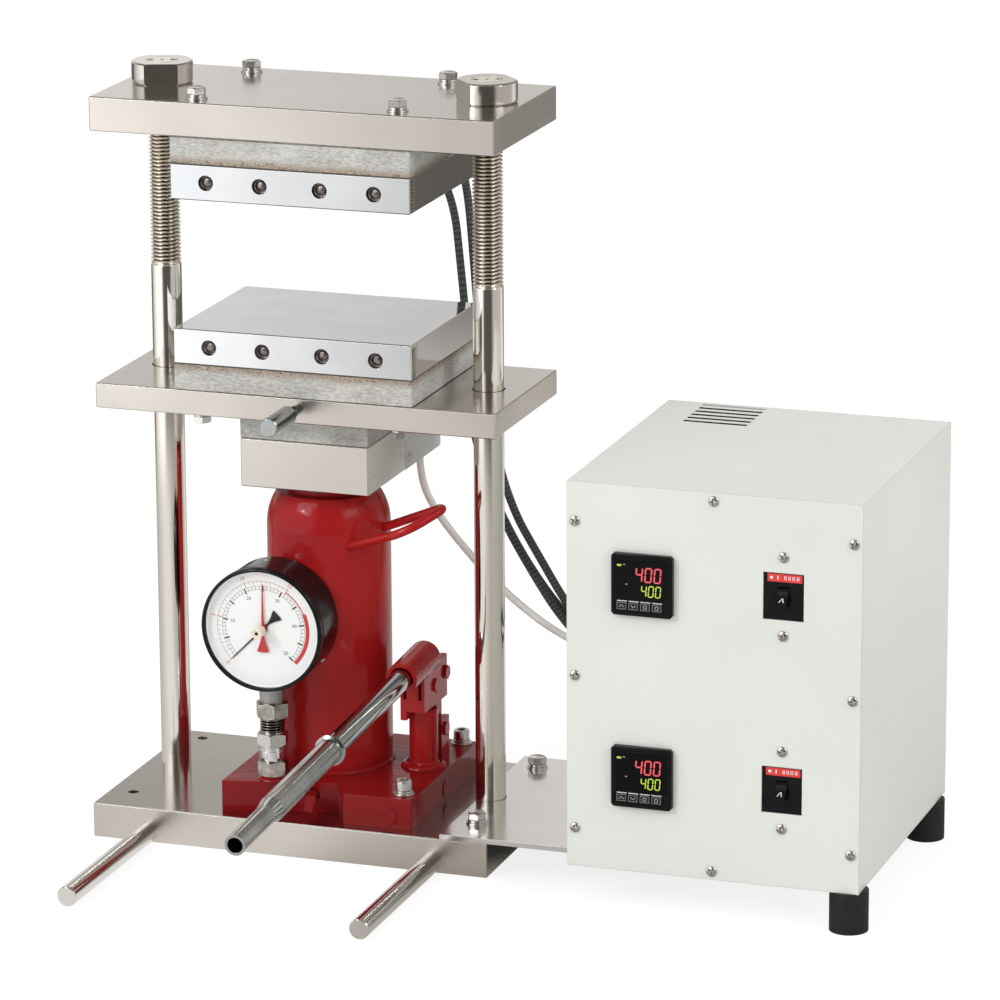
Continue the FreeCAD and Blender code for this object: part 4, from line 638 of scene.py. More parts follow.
# Fasteners: zinc-plated hexagon bolts with flat and split spring washers hold the platens and the bracket,
# and socket-head screws hold the jack's foot.
zinc = coat(
    "bright zinc plate", (420.0, 3), (0.58, 0.575, 0.56), (0.78, 0.775, 0.76), (0.16, 0.14),
    (0.00004, 0.0003), Metallic=1.0,
)
HEAD_FLATS, ON_WASHERS, CHAMFER_SLOPE = 13, 3.85, 0.55


def hexagon(flats, z, cone=None, sides=36, way=1):
    """A hexagonal ring. Where a cone's radius is given, the corners drop to where they meet the cone."""
    points = []
    for i in range(sides):
        angle = 2 * math.pi * i / sides
        radius = flats / 2 / math.cos((angle + math.pi / 6) % (math.pi / 3) - math.pi / 6)
        drop = 0.0 if cone is None else max(0.0, radius - cone) * CHAMFER_SLOPE * way
        points.append((radius * math.cos(angle), radius * math.sin(angle), z - drop))
    return points


def washers(work, place):
    """A flat washer and a split spring washer on it."""
    work.turned([(4.5, 0), (8.3, 0), (8.5, 0.25), (8.5, 1.35), (8.3, 1.6), (4.5, 1.6)], place, 36, True)
    section = ((4.5, 1.65), (7.0, 1.65), (7.2, 1.9), (7.2, 3.5), (7.0, 3.75), (4.5, 3.75))
    rings = []
    for k in range(31):
        angle = math.radians(10 + 340 * k / 30)
        rings.append([(r * math.cos(angle), r * math.sin(angle), z) for r, z in section])
    work.skin(rings, place)


def hex_bolt(work, place):
    """A hexagon head with its top turned off, on its washers."""
    washers(work, place)
    side = [hexagon(12.2, ON_WASHERS), hexagon(HEAD_FLATS, 4.2), hexagon(HEAD_FLATS, 9.0, 6.2)]
    work.skin(side + [ring(6.0, 9.1, 36), ring(5.6, 8.9, 36)], place)


def cap_screw(work, place):
    """A knurled round head with a hexagon socket, on its washers."""
    washers(work, place)
    knurl = [6.5 - 0.12 * (i % 2) for i in range(72)]
    side = [ring(5.9, ON_WASHERS, 72), uneven_ring(knurl, 4.4), uneven_ring(knurl, 10.4)]
    top = [ring(6.3, 11.2, 72), ring(5.6, 11.75, 72), ring(3.9, 11.75, 72)]
    socket = [hexagon(6.2, 11.3, None, 72), hexagon(6.0, 7.8, None, 72), ring(0.4, 7.0, 72)]
    work.skin(side + top + socket, place)


PLATEN_BOLTS = [(x, y) for x in (-82, 82) for y in (-58, 58)]
FOOT_TOP = reach("jack_body", "Z", 0)
work = Work()
for (x, y), turn in zip(PLATEN_BOLTS, (12, 41, 33, 4)):
    hex_bolt(work, stand(x, y, reach("top_plate", "Z", 1), turn))
for y, turn in ((-65, 24), (83, 50)):
    hex_bolt(work, stand(145, y, reach("bracket_plate", "Z", 1), turn))
for x, y, turn in ((88, -75, 10), (88, 62, 35), (-48, 58, 20)):
    cap_screw(work, stand(x, y, FOOT_TOP, turn))
work.done("frame_fasteners", zinc, "bolt_zinc", "frame_bolts")
work = Work()
for (x, y), turn in zip(PLATEN_BOLTS, (20, 8, 47, 30)):
    hex_bolt(work, stand(x, y, reach("mid_plate", "Z", 0), turn) @ spun(180, "X"))
work.done("platen_fasteners", zinc, "bolt_zinc", "lower_platen_bolts", "moving_plate")


# Cover and knob: a grey sheet cover over the sensor's terminals behind the spacer block, and the chromed
# round handle that is screwed into the moving plate's front.
cover_paint, at = new_material("grey cover paint")
stipple = at.speckle(900.0, 2)
at.surface(
    Base_Color=at.speckle(40.0).colours((0.50, 0.505, 0.50), (0.57, 0.575, 0.57)),
    Roughness=stipple * 0.15 + 0.38,
    Normal=at.relief(stipple, 0.00004, 0.0006),
)
dress(cover_paint, "rear_cover")
dark_chrome, at = new_material("smoky chrome")
wiped = at.stretched(300, 7, 300).speckle(1.0, 3)
at.surface(
    Base_Color=wiped.colours((0.36, 0.385, 0.395), (0.50, 0.525, 0.53)),
    Metallic=1.0,
    Roughness=wiped.ramp(0.4, 0.8) * 0.08 + 0.05,
    Normal=at.relief(wiped, 0.00001, 0.0003),
)
dress(dark_chrome, "plate_knob")


# Jack: a cast and welded foot, an oil tank with a rounded shoulder, the pump's cylinder, link and lever, all
# brushed thickly with one red enamel that rounds the edges and pools in the corners. The ram is bare steel.
red, at = new_material("red jack enamel")
skin = at.speckle(150.0, 2)
lumps = at.speckle(42.0, 4, 0.6)
broad = at.speckle(11.0, 2)
# Below 5 cm the red is painted darker: painted shade on the jack's foot.
foot = (1.0 - at.part("Z").ramp(0.050, 0.060)) * 0.8
tone = broad.ramp(0.3, 0.7).colours((0.29, 0.008, 0.010), (0.40, 0.015, 0.014))
lumpy = lumps.ramp(0.58, 0.80).colours(tone, (0.24, 0.006, 0.008))
at.surface(
    Base_Color=foot.colours(lumpy, (0.15, 0.004, 0.006)),
    Roughness=lumps * 0.12 + 0.08,
    Specular_IOR_Level=0.20,
    Normal=at.relief(skin * 0.3 + lumps, 0.0006, 0.0010),
)
dress(red, "jack_base", "jack_gland", "pump_cylinder", "pump_piston", "pump_link", "handle_socket")
dress(red, "carry_bail", "release_valve")
TANK_RADIUS, TANK_TOP = 49, reach("jack_body", "Z", 1)
SHOULDER, DOME_RADIUS = 28, 48.06
work = Work()
outline = [(44.7, FOOT_TOP), (TANK_RADIUS, FOOT_TOP), (TANK_RADIUS, TANK_TOP - SHOULDER)]
for k in range(1, 15):
    rise = SHOULDER * k / 14
    across = TANK_RADIUS - DOME_RADIUS + math.sqrt(DOME_RADIUS**2 - rise**2)
    outline.append((across, TANK_TOP - SHOULDER + rise))
outline += [(29, TANK_TOP), (29, TANK_TOP - 8)]
work.turned(outline, None, 96)
work.done("oil_tank", red, "jack_red", "jack_body")


def weld(work, place, radius, width, seed):
    """A lumpy bead round a foot."""
    steps = int(radius * 3) + 12
    rings = []
    for k in range(steps):
        angle = math.radians(360 * k / steps)
        lump = 1 + 0.28 * noise.noise(Vector((seed, k * 0.55, 0)))
        rise = 1 + 0.25 * noise.noise(Vector((k * 0.4, seed, 3)))
        section = [(-0.6, -0.2), (lump, 0.0), (0.85 * lump, 0.42 * rise), (0.42, 0.88 * rise)]
        section += [(-0.2, 1.05), (-0.6, 0.5)]
        reaches = [(radius + r * width, h * width) for r, h in section]
        rings.append([(r * math.cos(angle), r * math.sin(angle), h) for r, h in reaches])
    work.skin(rings + rings[:1], place, False, False)


STEM_X, STEM_Y = middle("gauge_fittings", "X"), middle("gauge_fittings", "Y")
work = Work()
weld(work, stand(0, 0, FOOT_TOP), TANK_RADIUS, 2.6, 1.3)
weld(work, stand(middle("pump_cylinder", "X"), 0, FOOT_TOP), 15, 3.4, 5.7)
weld(work, stand(STEM_X, STEM_Y, FOOT_TOP), 9.4, 2.4, 9.1)
work.done("weld_beads", red, "jack_red", crease=60)

dark_steel = coat(
    "oiled dark steel", (70.0, 4), (0.045, 0.043, 0.045), (0.13, 0.125, 0.125), (0.25, 0.25),
    (0.0001, 0.0004), Metallic=0.9,
)
dress(dark_steel, "jack_cylinder")
dress(polished, "jack_ram")


# Handle: a chromed tube that sits in the lever and, slid over it, a longer plated tube with a rolled collar
# and a necked end that fits the valve's key.
plated_tube, at = new_material("plated handle tube")
streaks = at.stretched(500, 8, 500).speckle(1.0, 4)
blotches = at.speckle(28.0, 4, 0.6)
at.surface(
    Base_Color=blotches.ramp(0.3, 0.7).colours((0.33, 0.34, 0.34), (0.50, 0.505, 0.50)),
    Metallic=1.0,
    Roughness=streaks * 0.10 + blotches * 0.06 + 0.08,
    Normal=at.relief(streaks + blotches * 0.5, 0.000008, 0.0004),
)
dress(plated_tube, "handle_lower_tube")
dress(dark_chrome, "handle_upper_tube")


# Gauge fittings: a zinc-plated hexagon in the foot's boss, a chromed union with a grooved and dented skirt, a
# threaded nipple, and a hexagon with turned corners under the gauge's grey stem.
STACK_FOOT, STACK_TOP = reach("gauge_fittings", "Z", 0), reach("gauge_fittings", "Z", 1)
UNION_FOOT, UNION_TOP = reach("gauge_union", "Z", 0), reach("gauge_union", "Z", 1)
SKIRT_TOP = 81.5
NIPPLE_TOP = 103.5
NIPPLE_RADIUS, NIPPLE_ROOT, NIPPLE_PITCH = 10, 8.2, 2.2


def hex_bar(work, place, flats, low, high, low_cone, high_cone):
    """A hexagon with the corners of its ends turned off down to a cone's radius."""
    rings = [ring(low_cone, low, 60), hexagon(flats, low, low_cone, 60, -1)]
    rings += [hexagon(flats, high, high_cone, 60), ring(high_cone, high, 60)]
    work.skin(rings, place)


def gauge_stack(turn):
    """The place of a fitting on the stem's line, at its own turn."""
    return stand(STEM_X, STEM_Y, 0, turn)


fitting_metal, at = new_material("dulled zinc fitting")
wear = at.speckle(150.0, 4, 0.6)
# The nipple's thread roots above the union are painted near-black: painted shade in the grooves.
root_painted_shade = 1.0 - off_axis(at.part("X") - STEM_X / MM, at.part("Y") - STEM_Y / MM).ramp(0.0086, 0.0098)
turned_grey = wear.ramp(0.3, 0.75).colours((0.30, 0.28, 0.25), (0.56, 0.535, 0.49))
at.surface(
    Base_Color=(root_painted_shade * at.part("Z").ramp(0.0915, 0.0925)).colours(turned_grey, (0.03, 0.026, 0.022)),
    Metallic=1.0,
    Roughness=wear * 0.20 + 0.08,
    Normal=at.relief(wear, 0.00004, 0.0005),
)
work = Work()
hex_bar(work, gauge_stack(-51), 22, STACK_FOOT, UNION_FOOT, 11.0, 10.9)
hex_bar(work, gauge_stack(-32), 23.4, NIPPLE_TOP, STACK_TOP, 10.2, 11.0)
winding = thread(UNION_TOP, NIPPLE_TOP, NIPPLE_RADIUS, NIPPLE_ROOT, NIPPLE_PITCH)
work.skin([ring(NIPPLE_ROOT, UNION_TOP, 40)] + winding + [ring(NIPPLE_ROOT, NIPPLE_TOP, 40)], gauge_stack(0))
work.done("pipe_fittings", fitting_metal, "fitting_zinc", "gauge_fittings")

chrome, at = new_material("bright chrome")
haze = at.speckle(120.0, 3)
at.surface(
    Base_Color=haze.colours((0.60, 0.60, 0.60), (0.72, 0.72, 0.72)),
    Metallic=1.0,
    Roughness=haze.ramp(0.4, 0.8) * 0.06 + 0.04,
    Normal=at.relief(haze, 0.00001, 0.0003),
)
work = Work()
hex_bar(work, gauge_stack(-48), 22.6, SKIRT_TOP, UNION_TOP, 10.4, 10.3)
skirt = [(9.4, UNION_FOOT), (10.2, 69.2), (10.7, 70.2), (11.0, 74), (11.2, 77.6), (10.7, 77.9), (10.7, 78.5)]
skirt += [(11.3, 78.8), (11.3, 80.2), (10.6, 80.5), (10.6, SKIRT_TOP)]
dents = []
for radius, z in skirt:
    round_it = [Vector((3 * x, 3 * y, 0.3 * z)) for x, y, _ in ring(1, 0, 96)]
    dents.append(uneven_ring([radius - 0.3 * max(0.0, noise.noise(spot)) for spot in round_it], z))
work.skin(dents, gauge_stack(0))
work.done("union_nut", chrome, "union_chrome", "gauge_union")

stem_grey = coat(
    "grey plated stem", (200.0, 3), (0.30, 0.30, 0.295), (0.46, 0.455, 0.44), (0.2, 0.26), (0.00006, 0.0004),
    Metallic=0.9,
)
dress(stem_grey, "gauge_stem")


# Gauge: a black enamelled cup with a pressed bezel, glass, a white dial printed black and red, a black hand,
# a red drag hand behind the glass and its cream reset knob in front of it. Three screws sit round the cup.
enamel, at = new_material("black gauge enamel")
orange_peel = at.speckle(520.0, 2)
dust = at.speckle(60.0, 4)
at.surface(
    Base_Color=dust.colours((0.003, 0.003, 0.0035), (0.009, 0.009, 0.010)),
    Roughness=dust.ramp(0.4, 0.8) * 0.12 + 0.08,
    Specular_IOR_Level=0.2,
    Normal=at.relief(orange_peel, 0.00005, 0.0006),
)
dress(enamel, "gauge_case")
GAUGE_Z = middle("gauge_bezel", "Z")
gauge_front = on_front(STEM_X, reach("gauge_bezel", "Y", 0), GAUGE_Z)
work = Work()
profile = [(47, -2), (47, -0.8), (47.2, -0.25), (47.7, 0), (48.5, 0), (49.3, -0.35), (49.85, -1.1)]
profile += [(50, -2.2), (50, -4.4), (49.6, -4.7), (49.6, -5.2), (50, -5.5), (50, -8.4), (49.7, -9)]
profile += [(49.05, -9), (49.05, -2)]
work.turned(profile, gauge_front, 120, True)
work.done("pressed_bezel", enamel, "gauge_black", "gauge_bezel", crease=50)

glass, at = new_material("gauge glass")
clear = at.node("BsdfTransparent", None, {"Color": (0.997, 0.998, 0.997, 1)})
shine = at.node("BsdfGlossy", None, {"Roughness": at.speckle(30.0, 3) * 0.06 + 0.02})
bounce = at.node("Fresnel", None, {"IOR": 1.45})
mixed = at.node("MixShader", None, {0: bounce * 0.35, 1: clear, 2: shine})
at.node("OutputMaterial", None, {"Surface": mixed})
dress(glass, "gauge_glass")

dial_paint = coat("white dial paint", (300.0, 2), (0.93, 0.93, 0.93), (0.97, 0.97, 0.97), (0.1, 0.45))
work = Work()
plate = [(1.7, -7.5), (47.2, -7.5), (47.3, -7.4), (47.3, -6.6), (47.2, -6.5), (1.7, -6.5)]
work.turned(plate, gauge_front, 96, True)
lip = [(47.0, -6.4), (46.0, -6.3), (46.7, -5.2), (47.0, -4.1), (47.4, -4.1), (47.4, -6.4)]
work.turned(lip, gauge_front, 96, True)
work.done("dial_plate", dial_paint, "dial_white", "gauge_dial")


def ink(name, low, high):
    """A printing ink with a slightly uneven cover."""
    return coat(name, (900.0, 2), low, high, (0.2, 0.4))


def arc(work, place, inner, outer, start, end, height):
    """A flat printed arc between two radii, from one clock angle to another."""
    steps = max(1, int(abs(end - start) / 3))
    angles = [math.radians(start + (end - start) * i / steps) for i in range(steps + 1)]
    edges = [[(r * math.sin(a), r * math.cos(a), height) for r in (inner, outer)] for a in angles]
    rows = [work.corners(edge, place) for edge in edges]
    for (a, b), (c, d) in zip(rows, rows[1:]):
        work.mesh.faces.new((a, b, d, c))


def tick(work, place, inner, outer, angle, width, height):
    """A printed mark across a scale."""
    half = width / 2
    mark = [(-half, inner, height), (half, inner, height), (half, outer, height), (-half, outer, height)]
    work.face(mark, place @ spun(-angle))


def figures(work, place, text, radius, angle, size, height, leaning=False):
    """Printed figures at a clock angle, upright or leaning with it."""
    curve = bpy.data.curves.new("figures", "FONT")
    curve.body = text
    curve.size = size
    curve.align_x = "CENTER"
    curve.align_y = "CENTER"
    holder = bpy.data.objects.new("figures", curve)
    flat = bpy.data.meshes.new_from_object(holder)
    turn = spun(-angle)
    upright = Matrix() if leaning else turn.inverted()
    flat.transform(place @ turn @ stand(0, radius, height) @ upright)
    work.mesh.from_mesh(flat)
    for made, group in ((holder, bpy.data.objects), (curve, bpy.data.curves), (flat, bpy.data.meshes)):
        group.remove(made)


SCALE_START, SCALE_END = -135, 135
PRINTED = -6.44
RED_STEP = 11.12
RED_FROM, THICK_RED_FROM = 32, 67
black_ink = ink("black print", (0.008, 0.008, 0.009), (0.02, 0.02, 0.02))
red_ink = ink("red print", (0.60, 0.022, 0.025), (0.68, 0.04, 0.04))
pale_ink = ink("pale red print", (0.42, 0.16, 0.17), (0.50, 0.22, 0.22))
work = Work()
for k in range(51):
    angle = SCALE_START + (SCALE_END - SCALE_START) * k / 50
    inner, width = (31.6, 0.32) if k % 5 else (29.8, 1.15)
    tick(work, gauge_front, inner, 34.4, angle, width, PRINTED)
for radius in (31.5, 34.3):
    arc(work, gauge_front, radius, radius + 0.22, SCALE_START, SCALE_END, PRINTED - 0.01)
for k in range(1, 6):
    figures(work, gauge_front, str(10 * k), 26.2, SCALE_START + 54 * k, 3.9, PRINTED)
work.done("black_scale", black_ink, "needle_black")
work = Work()
arc(work, gauge_front, 35.7, 36.7, RED_FROM, THICK_RED_FROM, PRINTED)
arc(work, gauge_front, 35.2, 38.4, THICK_RED_FROM, SCALE_END, PRINTED + 0.01)
for k in (0, 5, 10, 15):
    angle = SCALE_START + RED_STEP * k
    tick(work, gauge_front, 34.8, 39.6, angle, 0.55, PRINTED + 0.02)
    figures(work, gauge_front, str(k), 42.4, angle, 4.2, PRINTED, True)
work.done("red_scale", red_ink, "hand_red")
work = Work()
arc(work, gauge_front, 38.3, 38.6, SCALE_START, RED_FROM, PRINTED)
for k in range(31):
    tick(work, gauge_front, 36.6 if k % 2 else 35.6, 38.4, SCALE_START + RED_STEP / 2 * k, 0.3, PRINTED)
work.done("fine_red_scale", pale_ink, "hand_red")


def blade(work, place, length, tail, wide, low, high):
    """A pointed hand with a round hub and a waisted tail."""
    side = [(0.35, length), (wide, 3.0), (wide, -5.5), (wide + 0.5, -8.0), (2.4, -11.5), (4.9, -tail + 0.6)]
    side += [(4.5, -tail), (2.0, -tail - 0.35)]
    outline = side + [(-x, y) for x, y in reversed(side)]
    work.skin([[(x, y, z) for x, y in outline] for z in (low, high)], place)
    work.turned([(3.6, low - 0.05), (3.6, high + 0.15), (3.2, high + 0.3), (0, high + 0.3)], place, 40)


hand_black = coat(
    "black hand paint", (200.0, 2), (0.006, 0.006, 0.007), (0.018, 0.018, 0.019), (0.2, 0.35),
    Specular_IOR_Level=0.2,
)
work = Work()
pointer = gauge_front @ spun(-SCALE_START)
blade(work, pointer, 37, 17.2, 0.75, -6.0, -5.6)
work.turned([(1.2, -10.5), (1.2, -5.6)], pointer, 24)
work.done("pressure_hand_blade", hand_black, "needle_black", "gauge_needle", "pressure_hand")
hand_red = coat("red hand paint", (200.0, 2), (0.50, 0.015, 0.02), (0.62, 0.03, 0.035), (0.2, 0.35))
work = Work()
blade(work, gauge_front, 36, 18.6, 1.0, -5.0, -4.6)
work.turned([(1.2, -5.0), (1.2, 0)], gauge_front, 24)
work.done("drag_hand_blade", hand_red, "hand_red", "max_hand", "drag_hand")
cream = coat(
    "cream knob plastic", (120.0, 2), (0.72, 0.66, 0.52), (0.80, 0.75, 0.62), (0.15, 0.3),
    Subsurface_Weight=0.2, Subsurface_Radius=(0.002, 0.0015, 0.001),
)
GRIP_RADIUS = 4.4
work = Work()
grip = [(4.2, 0), (4.45, 0.3), (4.5, 1.0), (4.45, 7.8), (4.35, 8.7), (4.0, 9.0), (3.3, 9.0)]
grip += [(3.1, 8.4), (2.5, 8.3), (2.3, 8.9), (0.4, 8.9)]
rings = []
for radius, z in grip:
    deep = 0.14 if 0.5 < z < 8 and radius > GRIP_RADIUS else 0.0
    rings.append(uneven_ring([radius - deep * (i % 4 > 1) for i in range(96)], z))
work.skin(rings, gauge_front)
work.done("reset_knob", cream, "dial_white", "max_hand", "drag_hand")
work = Work()
work.turned([(1.4, 8.8), (1.4, 9.0), (1.2, 9.1), (0, 9.1)], gauge_front, 32)
work.done("reset_knob_centre", hand_black, "needle_black", "max_hand", "drag_hand")


def round_head(work, place, radius, height):
    """A round screw head with a cross recess."""
    rings = [ring(radius, 0, 56)]
    for share in (1.0, 0.98, 0.93, 0.86, 0.78, 0.70, 0.62, 0.54, 0.46, 0.38, 0.30, 0.22, 0.14, 0.05):
        dome = height * (0.12 + 0.88 * math.sqrt(max(0.0, 1 - share**2)))
        in_cross = height * (0.95 - 0.6 * share)
        points = []
        for x, y, _ in ring(share * radius, 0, 56):
            sunk = min(abs(x), abs(y)) < 0.15 * radius and share < 0.63
            points.append((x, y, dome - in_cross * sunk))
        rings.append(points)
    work.skin(rings, place)


screw_metal = coat(
    "nickel screw", (300.0, 3), (0.52, 0.50, 0.47), (0.74, 0.72, 0.69), (0.15, 0.15), (0.00003, 0.0002),
    Metallic=1.0,
)
CASE_RADIUS = 48.9
work = Work()
for turn, y in ((-5.5, -63), (129, -56), (-120, -60)):
    out = stand(STEM_X, y, GAUGE_Z) @ spun(turn, "Y")
    round_head(work, out @ stand(0, 0, CASE_RADIUS), 2.2, 1.2)
work.done("case_screws", screw_metal, "screw_steel", crease=40)


# Bracket: a strip of rolled stainless steel with fingerprints on it. It is bolted on the base plate's right
# end, and the controller's box stands on it.
stainless, at = new_material("rolled stainless")
rolled = at.stretched(14, 900, 900).speckle(1.0, 4)
prints = at.speckle(26.0, 4, 0.65)
at.surface(
    Base_Color=prints.colours((0.84, 0.83, 0.84), (0.93, 0.92, 0.93)),
    Metallic=1.0,
    Roughness=rolled * 0.12 + prints.ramp(0.45, 0.8) * 0.08 + 0.10,
    Normal=at.relief(rolled, 0.00001, 0.0004),
)
dress(stainless, "bracket_plate")


# Box: folded sheet steel with a separate front, in a smooth ivory powder coat, on two rubber feet. The vents'
# punched walls are painted near-black: painted shade inside the slots.
ivory, at = new_material("ivory powder coat")
peel = at.speckle(650.0, 2)
tint = at.speckle(6.0, 2)
# Through the lid's thickness, within the vents' area, the slot walls are painted near-black: painted shade.
lid_edge = at.part("Z").band((0.325, 0.327), (0.3346, 0.3349))
along_vents = at.part("X").band((0.270, 0.272), (0.326, 0.328))
across_vents = at.part("Y").band((0.060, 0.062), (0.117, 0.118))
ivory_tone = tint.ramp(0.3, 0.7).colours((0.625, 0.65, 0.61), (0.655, 0.68, 0.64))
at.surface(
    Base_Color=(lid_edge * (along_vents * across_vents)).colours(ivory_tone, (0.006, 0.006, 0.006)),
    Roughness=peel * 0.08 + 0.34,
    Specular_IOR_Level=0.45,
    Normal=at.relief(peel + tint * 0.4, 0.00008, 0.0012),
)
dress(ivory, "box_shell", "box_front_panel")
rubber = coat(
    "black foot rubber", (160.0, 4), (0.006, 0.006, 0.0065), (0.022, 0.022, 0.023), (0.2, 0.45),
    (0.0002, 0.001), Specular_IOR_Level=0.3,
)
dress(rubber, "box_feet")

HALF_CONTROLLER = 24
ROWS = {
    "upper": reach("temperature_controllers", "Z", 1) - HALF_CONTROLLER,
    "lower": reach("temperature_controllers", "Z", 0) + HALF_CONTROLLER,
}
BREAKER_X = middle("upper_toggle", "X")
PANEL_X, PANEL_Z = middle("box_front_panel", "X"), middle("box_front_panel", "Z")
PANEL_FRONT = reach("box_front_panel", "Y", 0)
SCREW_SPOTS = [(PANEL_X + side, PANEL_Z + up) for side in (-108.5, 108.5) for up in (-121, 0, 121)]
SCREW_SPOTS += [(PANEL_X, PANEL_Z + up) for up in (-145, 145)]
SCREW_SPOTS += [(BREAKER_X, z + up) for z in ROWS.values() for up in (-30.5, 30.5)]
work = Work()
for k, (x, z) in enumerate(SCREW_SPOTS):
    face = on_front(x, PANEL_FRONT, z) @ Matrix.Rotation(0.3 + 1.1 * k, 4, "Z")
    round_head(work, face, 4.2, 2.2)
    work.turned([(1.8, -4.8), (1.8, 0.1)], face, 16)
work.done("panel_screws", screw_metal, "screw_steel", "box_screws", crease=40)


# Cable glands: black nylon nuts in the box's left wall and back. Each has a ribbed cap that closes on its
# lead as it is screwed down.
nylon = coat(
    "black nylon", (420.0, 2), (0.006, 0.006, 0.0065), (0.016, 0.016, 0.017), (0.15, 0.32),
    (0.00006, 0.0005), Specular_IOR_Level=0.3,
)
LEFT_WALL, BACK_WALL = reach("box_shell", "X", 0), reach("box_shell", "Y", 1)
NUT_HEIGHT = 7.8
work = Work()
for place, flats, bore in (
    (stand(LEFT_WALL, 72, 138) @ spun(-90, "Y"), 30, 2.0),
    (stand(LEFT_WALL, 42, 148) @ spun(-90, "Y"), 19, 2.0),
    (stand(432.5, BACK_WALL, 72) @ spun(-90, "X"), 24, 4.8),
):
    hex_bar(work, place, flats, 0, NUT_HEIGHT, flats * 0.5, flats * 0.52)
    cap = []
    for share, z in ((0.47, NUT_HEIGHT), (0.46, 9.0), (0.45, 11.0), (0.41, 12.8), (0.34, 13.7), (0.26, 14.0)):
        rib = 0.018 if share > 0.4 else 0
        cap.append(uneven_ring([flats * (share - rib * (i % 4 > 1)) for i in range(64)], z))
    cap += [ring(max(bore, flats * 0.2), 13.4, 64), ring(bore, 9.0, 64)]
    work.skin(cap, place)
work.done("nylon_glands", nylon, "black_plastic", "cable_glands", crease=40)


# Controllers: two square black mouldings with a glossy window, red and green seven-bar figures and four
# keys. They are pushed into the box's front and clipped behind it.
moulded = coat(
    "black moulded case", (1200.0, 2), (0.003, 0.003, 0.0035), (0.008, 0.008, 0.009), (0.1, 0.12),
    (0.00002, 0.0005), Specular_IOR_Level=0.14,
)
window = coat(
    "smoked window", (45.0, 3), (0.002, 0.002, 0.0025), (0.005, 0.005, 0.0055), (0.08, 0.05),
    Specular_IOR_Level=0.1,
)


def lamp_material(name, colour, strength):
    """A lit bar behind the window, its light a little uneven."""
    material, at = new_material(name)
    at.surface(
        Base_Color=(0.02, 0.02, 0.02),
        Roughness=0.3,
        Emission_Color=at.speckle(400.0, 2).colours(colour, tuple(c * 0.8 for c in colour)),
        Emission_Strength=strength,
    )
    return material


red_light = lamp_material("red figures", (1.0, 0.10, 0.12), 1.0)
green_light = lamp_material("green figures", (0.62, 0.82, 0.06), 0.9)
white_ink = ink("white print", (0.62, 0.62, 0.62), (0.78, 0.78, 0.78))
grey_ink = ink("grey print", (0.26, 0.26, 0.265), (0.36, 0.36, 0.365))


def octagon(half, corner, height):
    """The outline of a square with its corners cut off."""
    c = half - corner
    points = [(half, -c), (half, c), (c, half), (-c, half), (-half, c), (-half, -c), (-c, -half), (c, -half)]
    return [(x, y, height) for x, y in points]


def bar_figures(work, place, text, right, bottom, size, height):
    """Seven-bar figures, set from the right."""
    wide, thick, gap, lean = size * 0.44, size * 0.115, size * 0.24, 0.08
    bars = {
        "top": (0, size, wide, size),
        "middle": (0, size / 2, wide, size / 2),
        "bottom": (0, 0, wide, 0),
        "upper_left": (0, size / 2, 0, size),
        "lower_left": (0, 0, 0, size / 2),
        "upper_right": (wide, size / 2, wide, size),
        "lower_right": (wide, 0, wide, size / 2),
    }
    lit = {"0": [name for name in bars if name != "middle"]}
    lit["4"] = ["upper_left", "middle", "upper_right", "lower_right"]
    h, t = thick / 2, thick * 0.12
    x = right - wide
    for letter in reversed(text):
        for name in lit[letter]:
            x0, y0, x1, y1 = bars[name]
            if y0 == y1:
                points = [(x0 + t, y0), (x0 + h, y0 + h), (x1 - h, y0 + h)]
                points += [(x1 - t, y0), (x1 - h, y0 - h), (x0 + h, y0 - h)]
            else:
                points = [(x0, y0 + t), (x0 - h, y0 + h), (x0 - h, y1 - h)]
                points += [(x0, y1 - t), (x0 + h, y1 - h), (x0 + h, y0 + h)]
            work.face([(x + px + py * lean, bottom + py, height) for px, py in points], place)
        x -= wide + gap


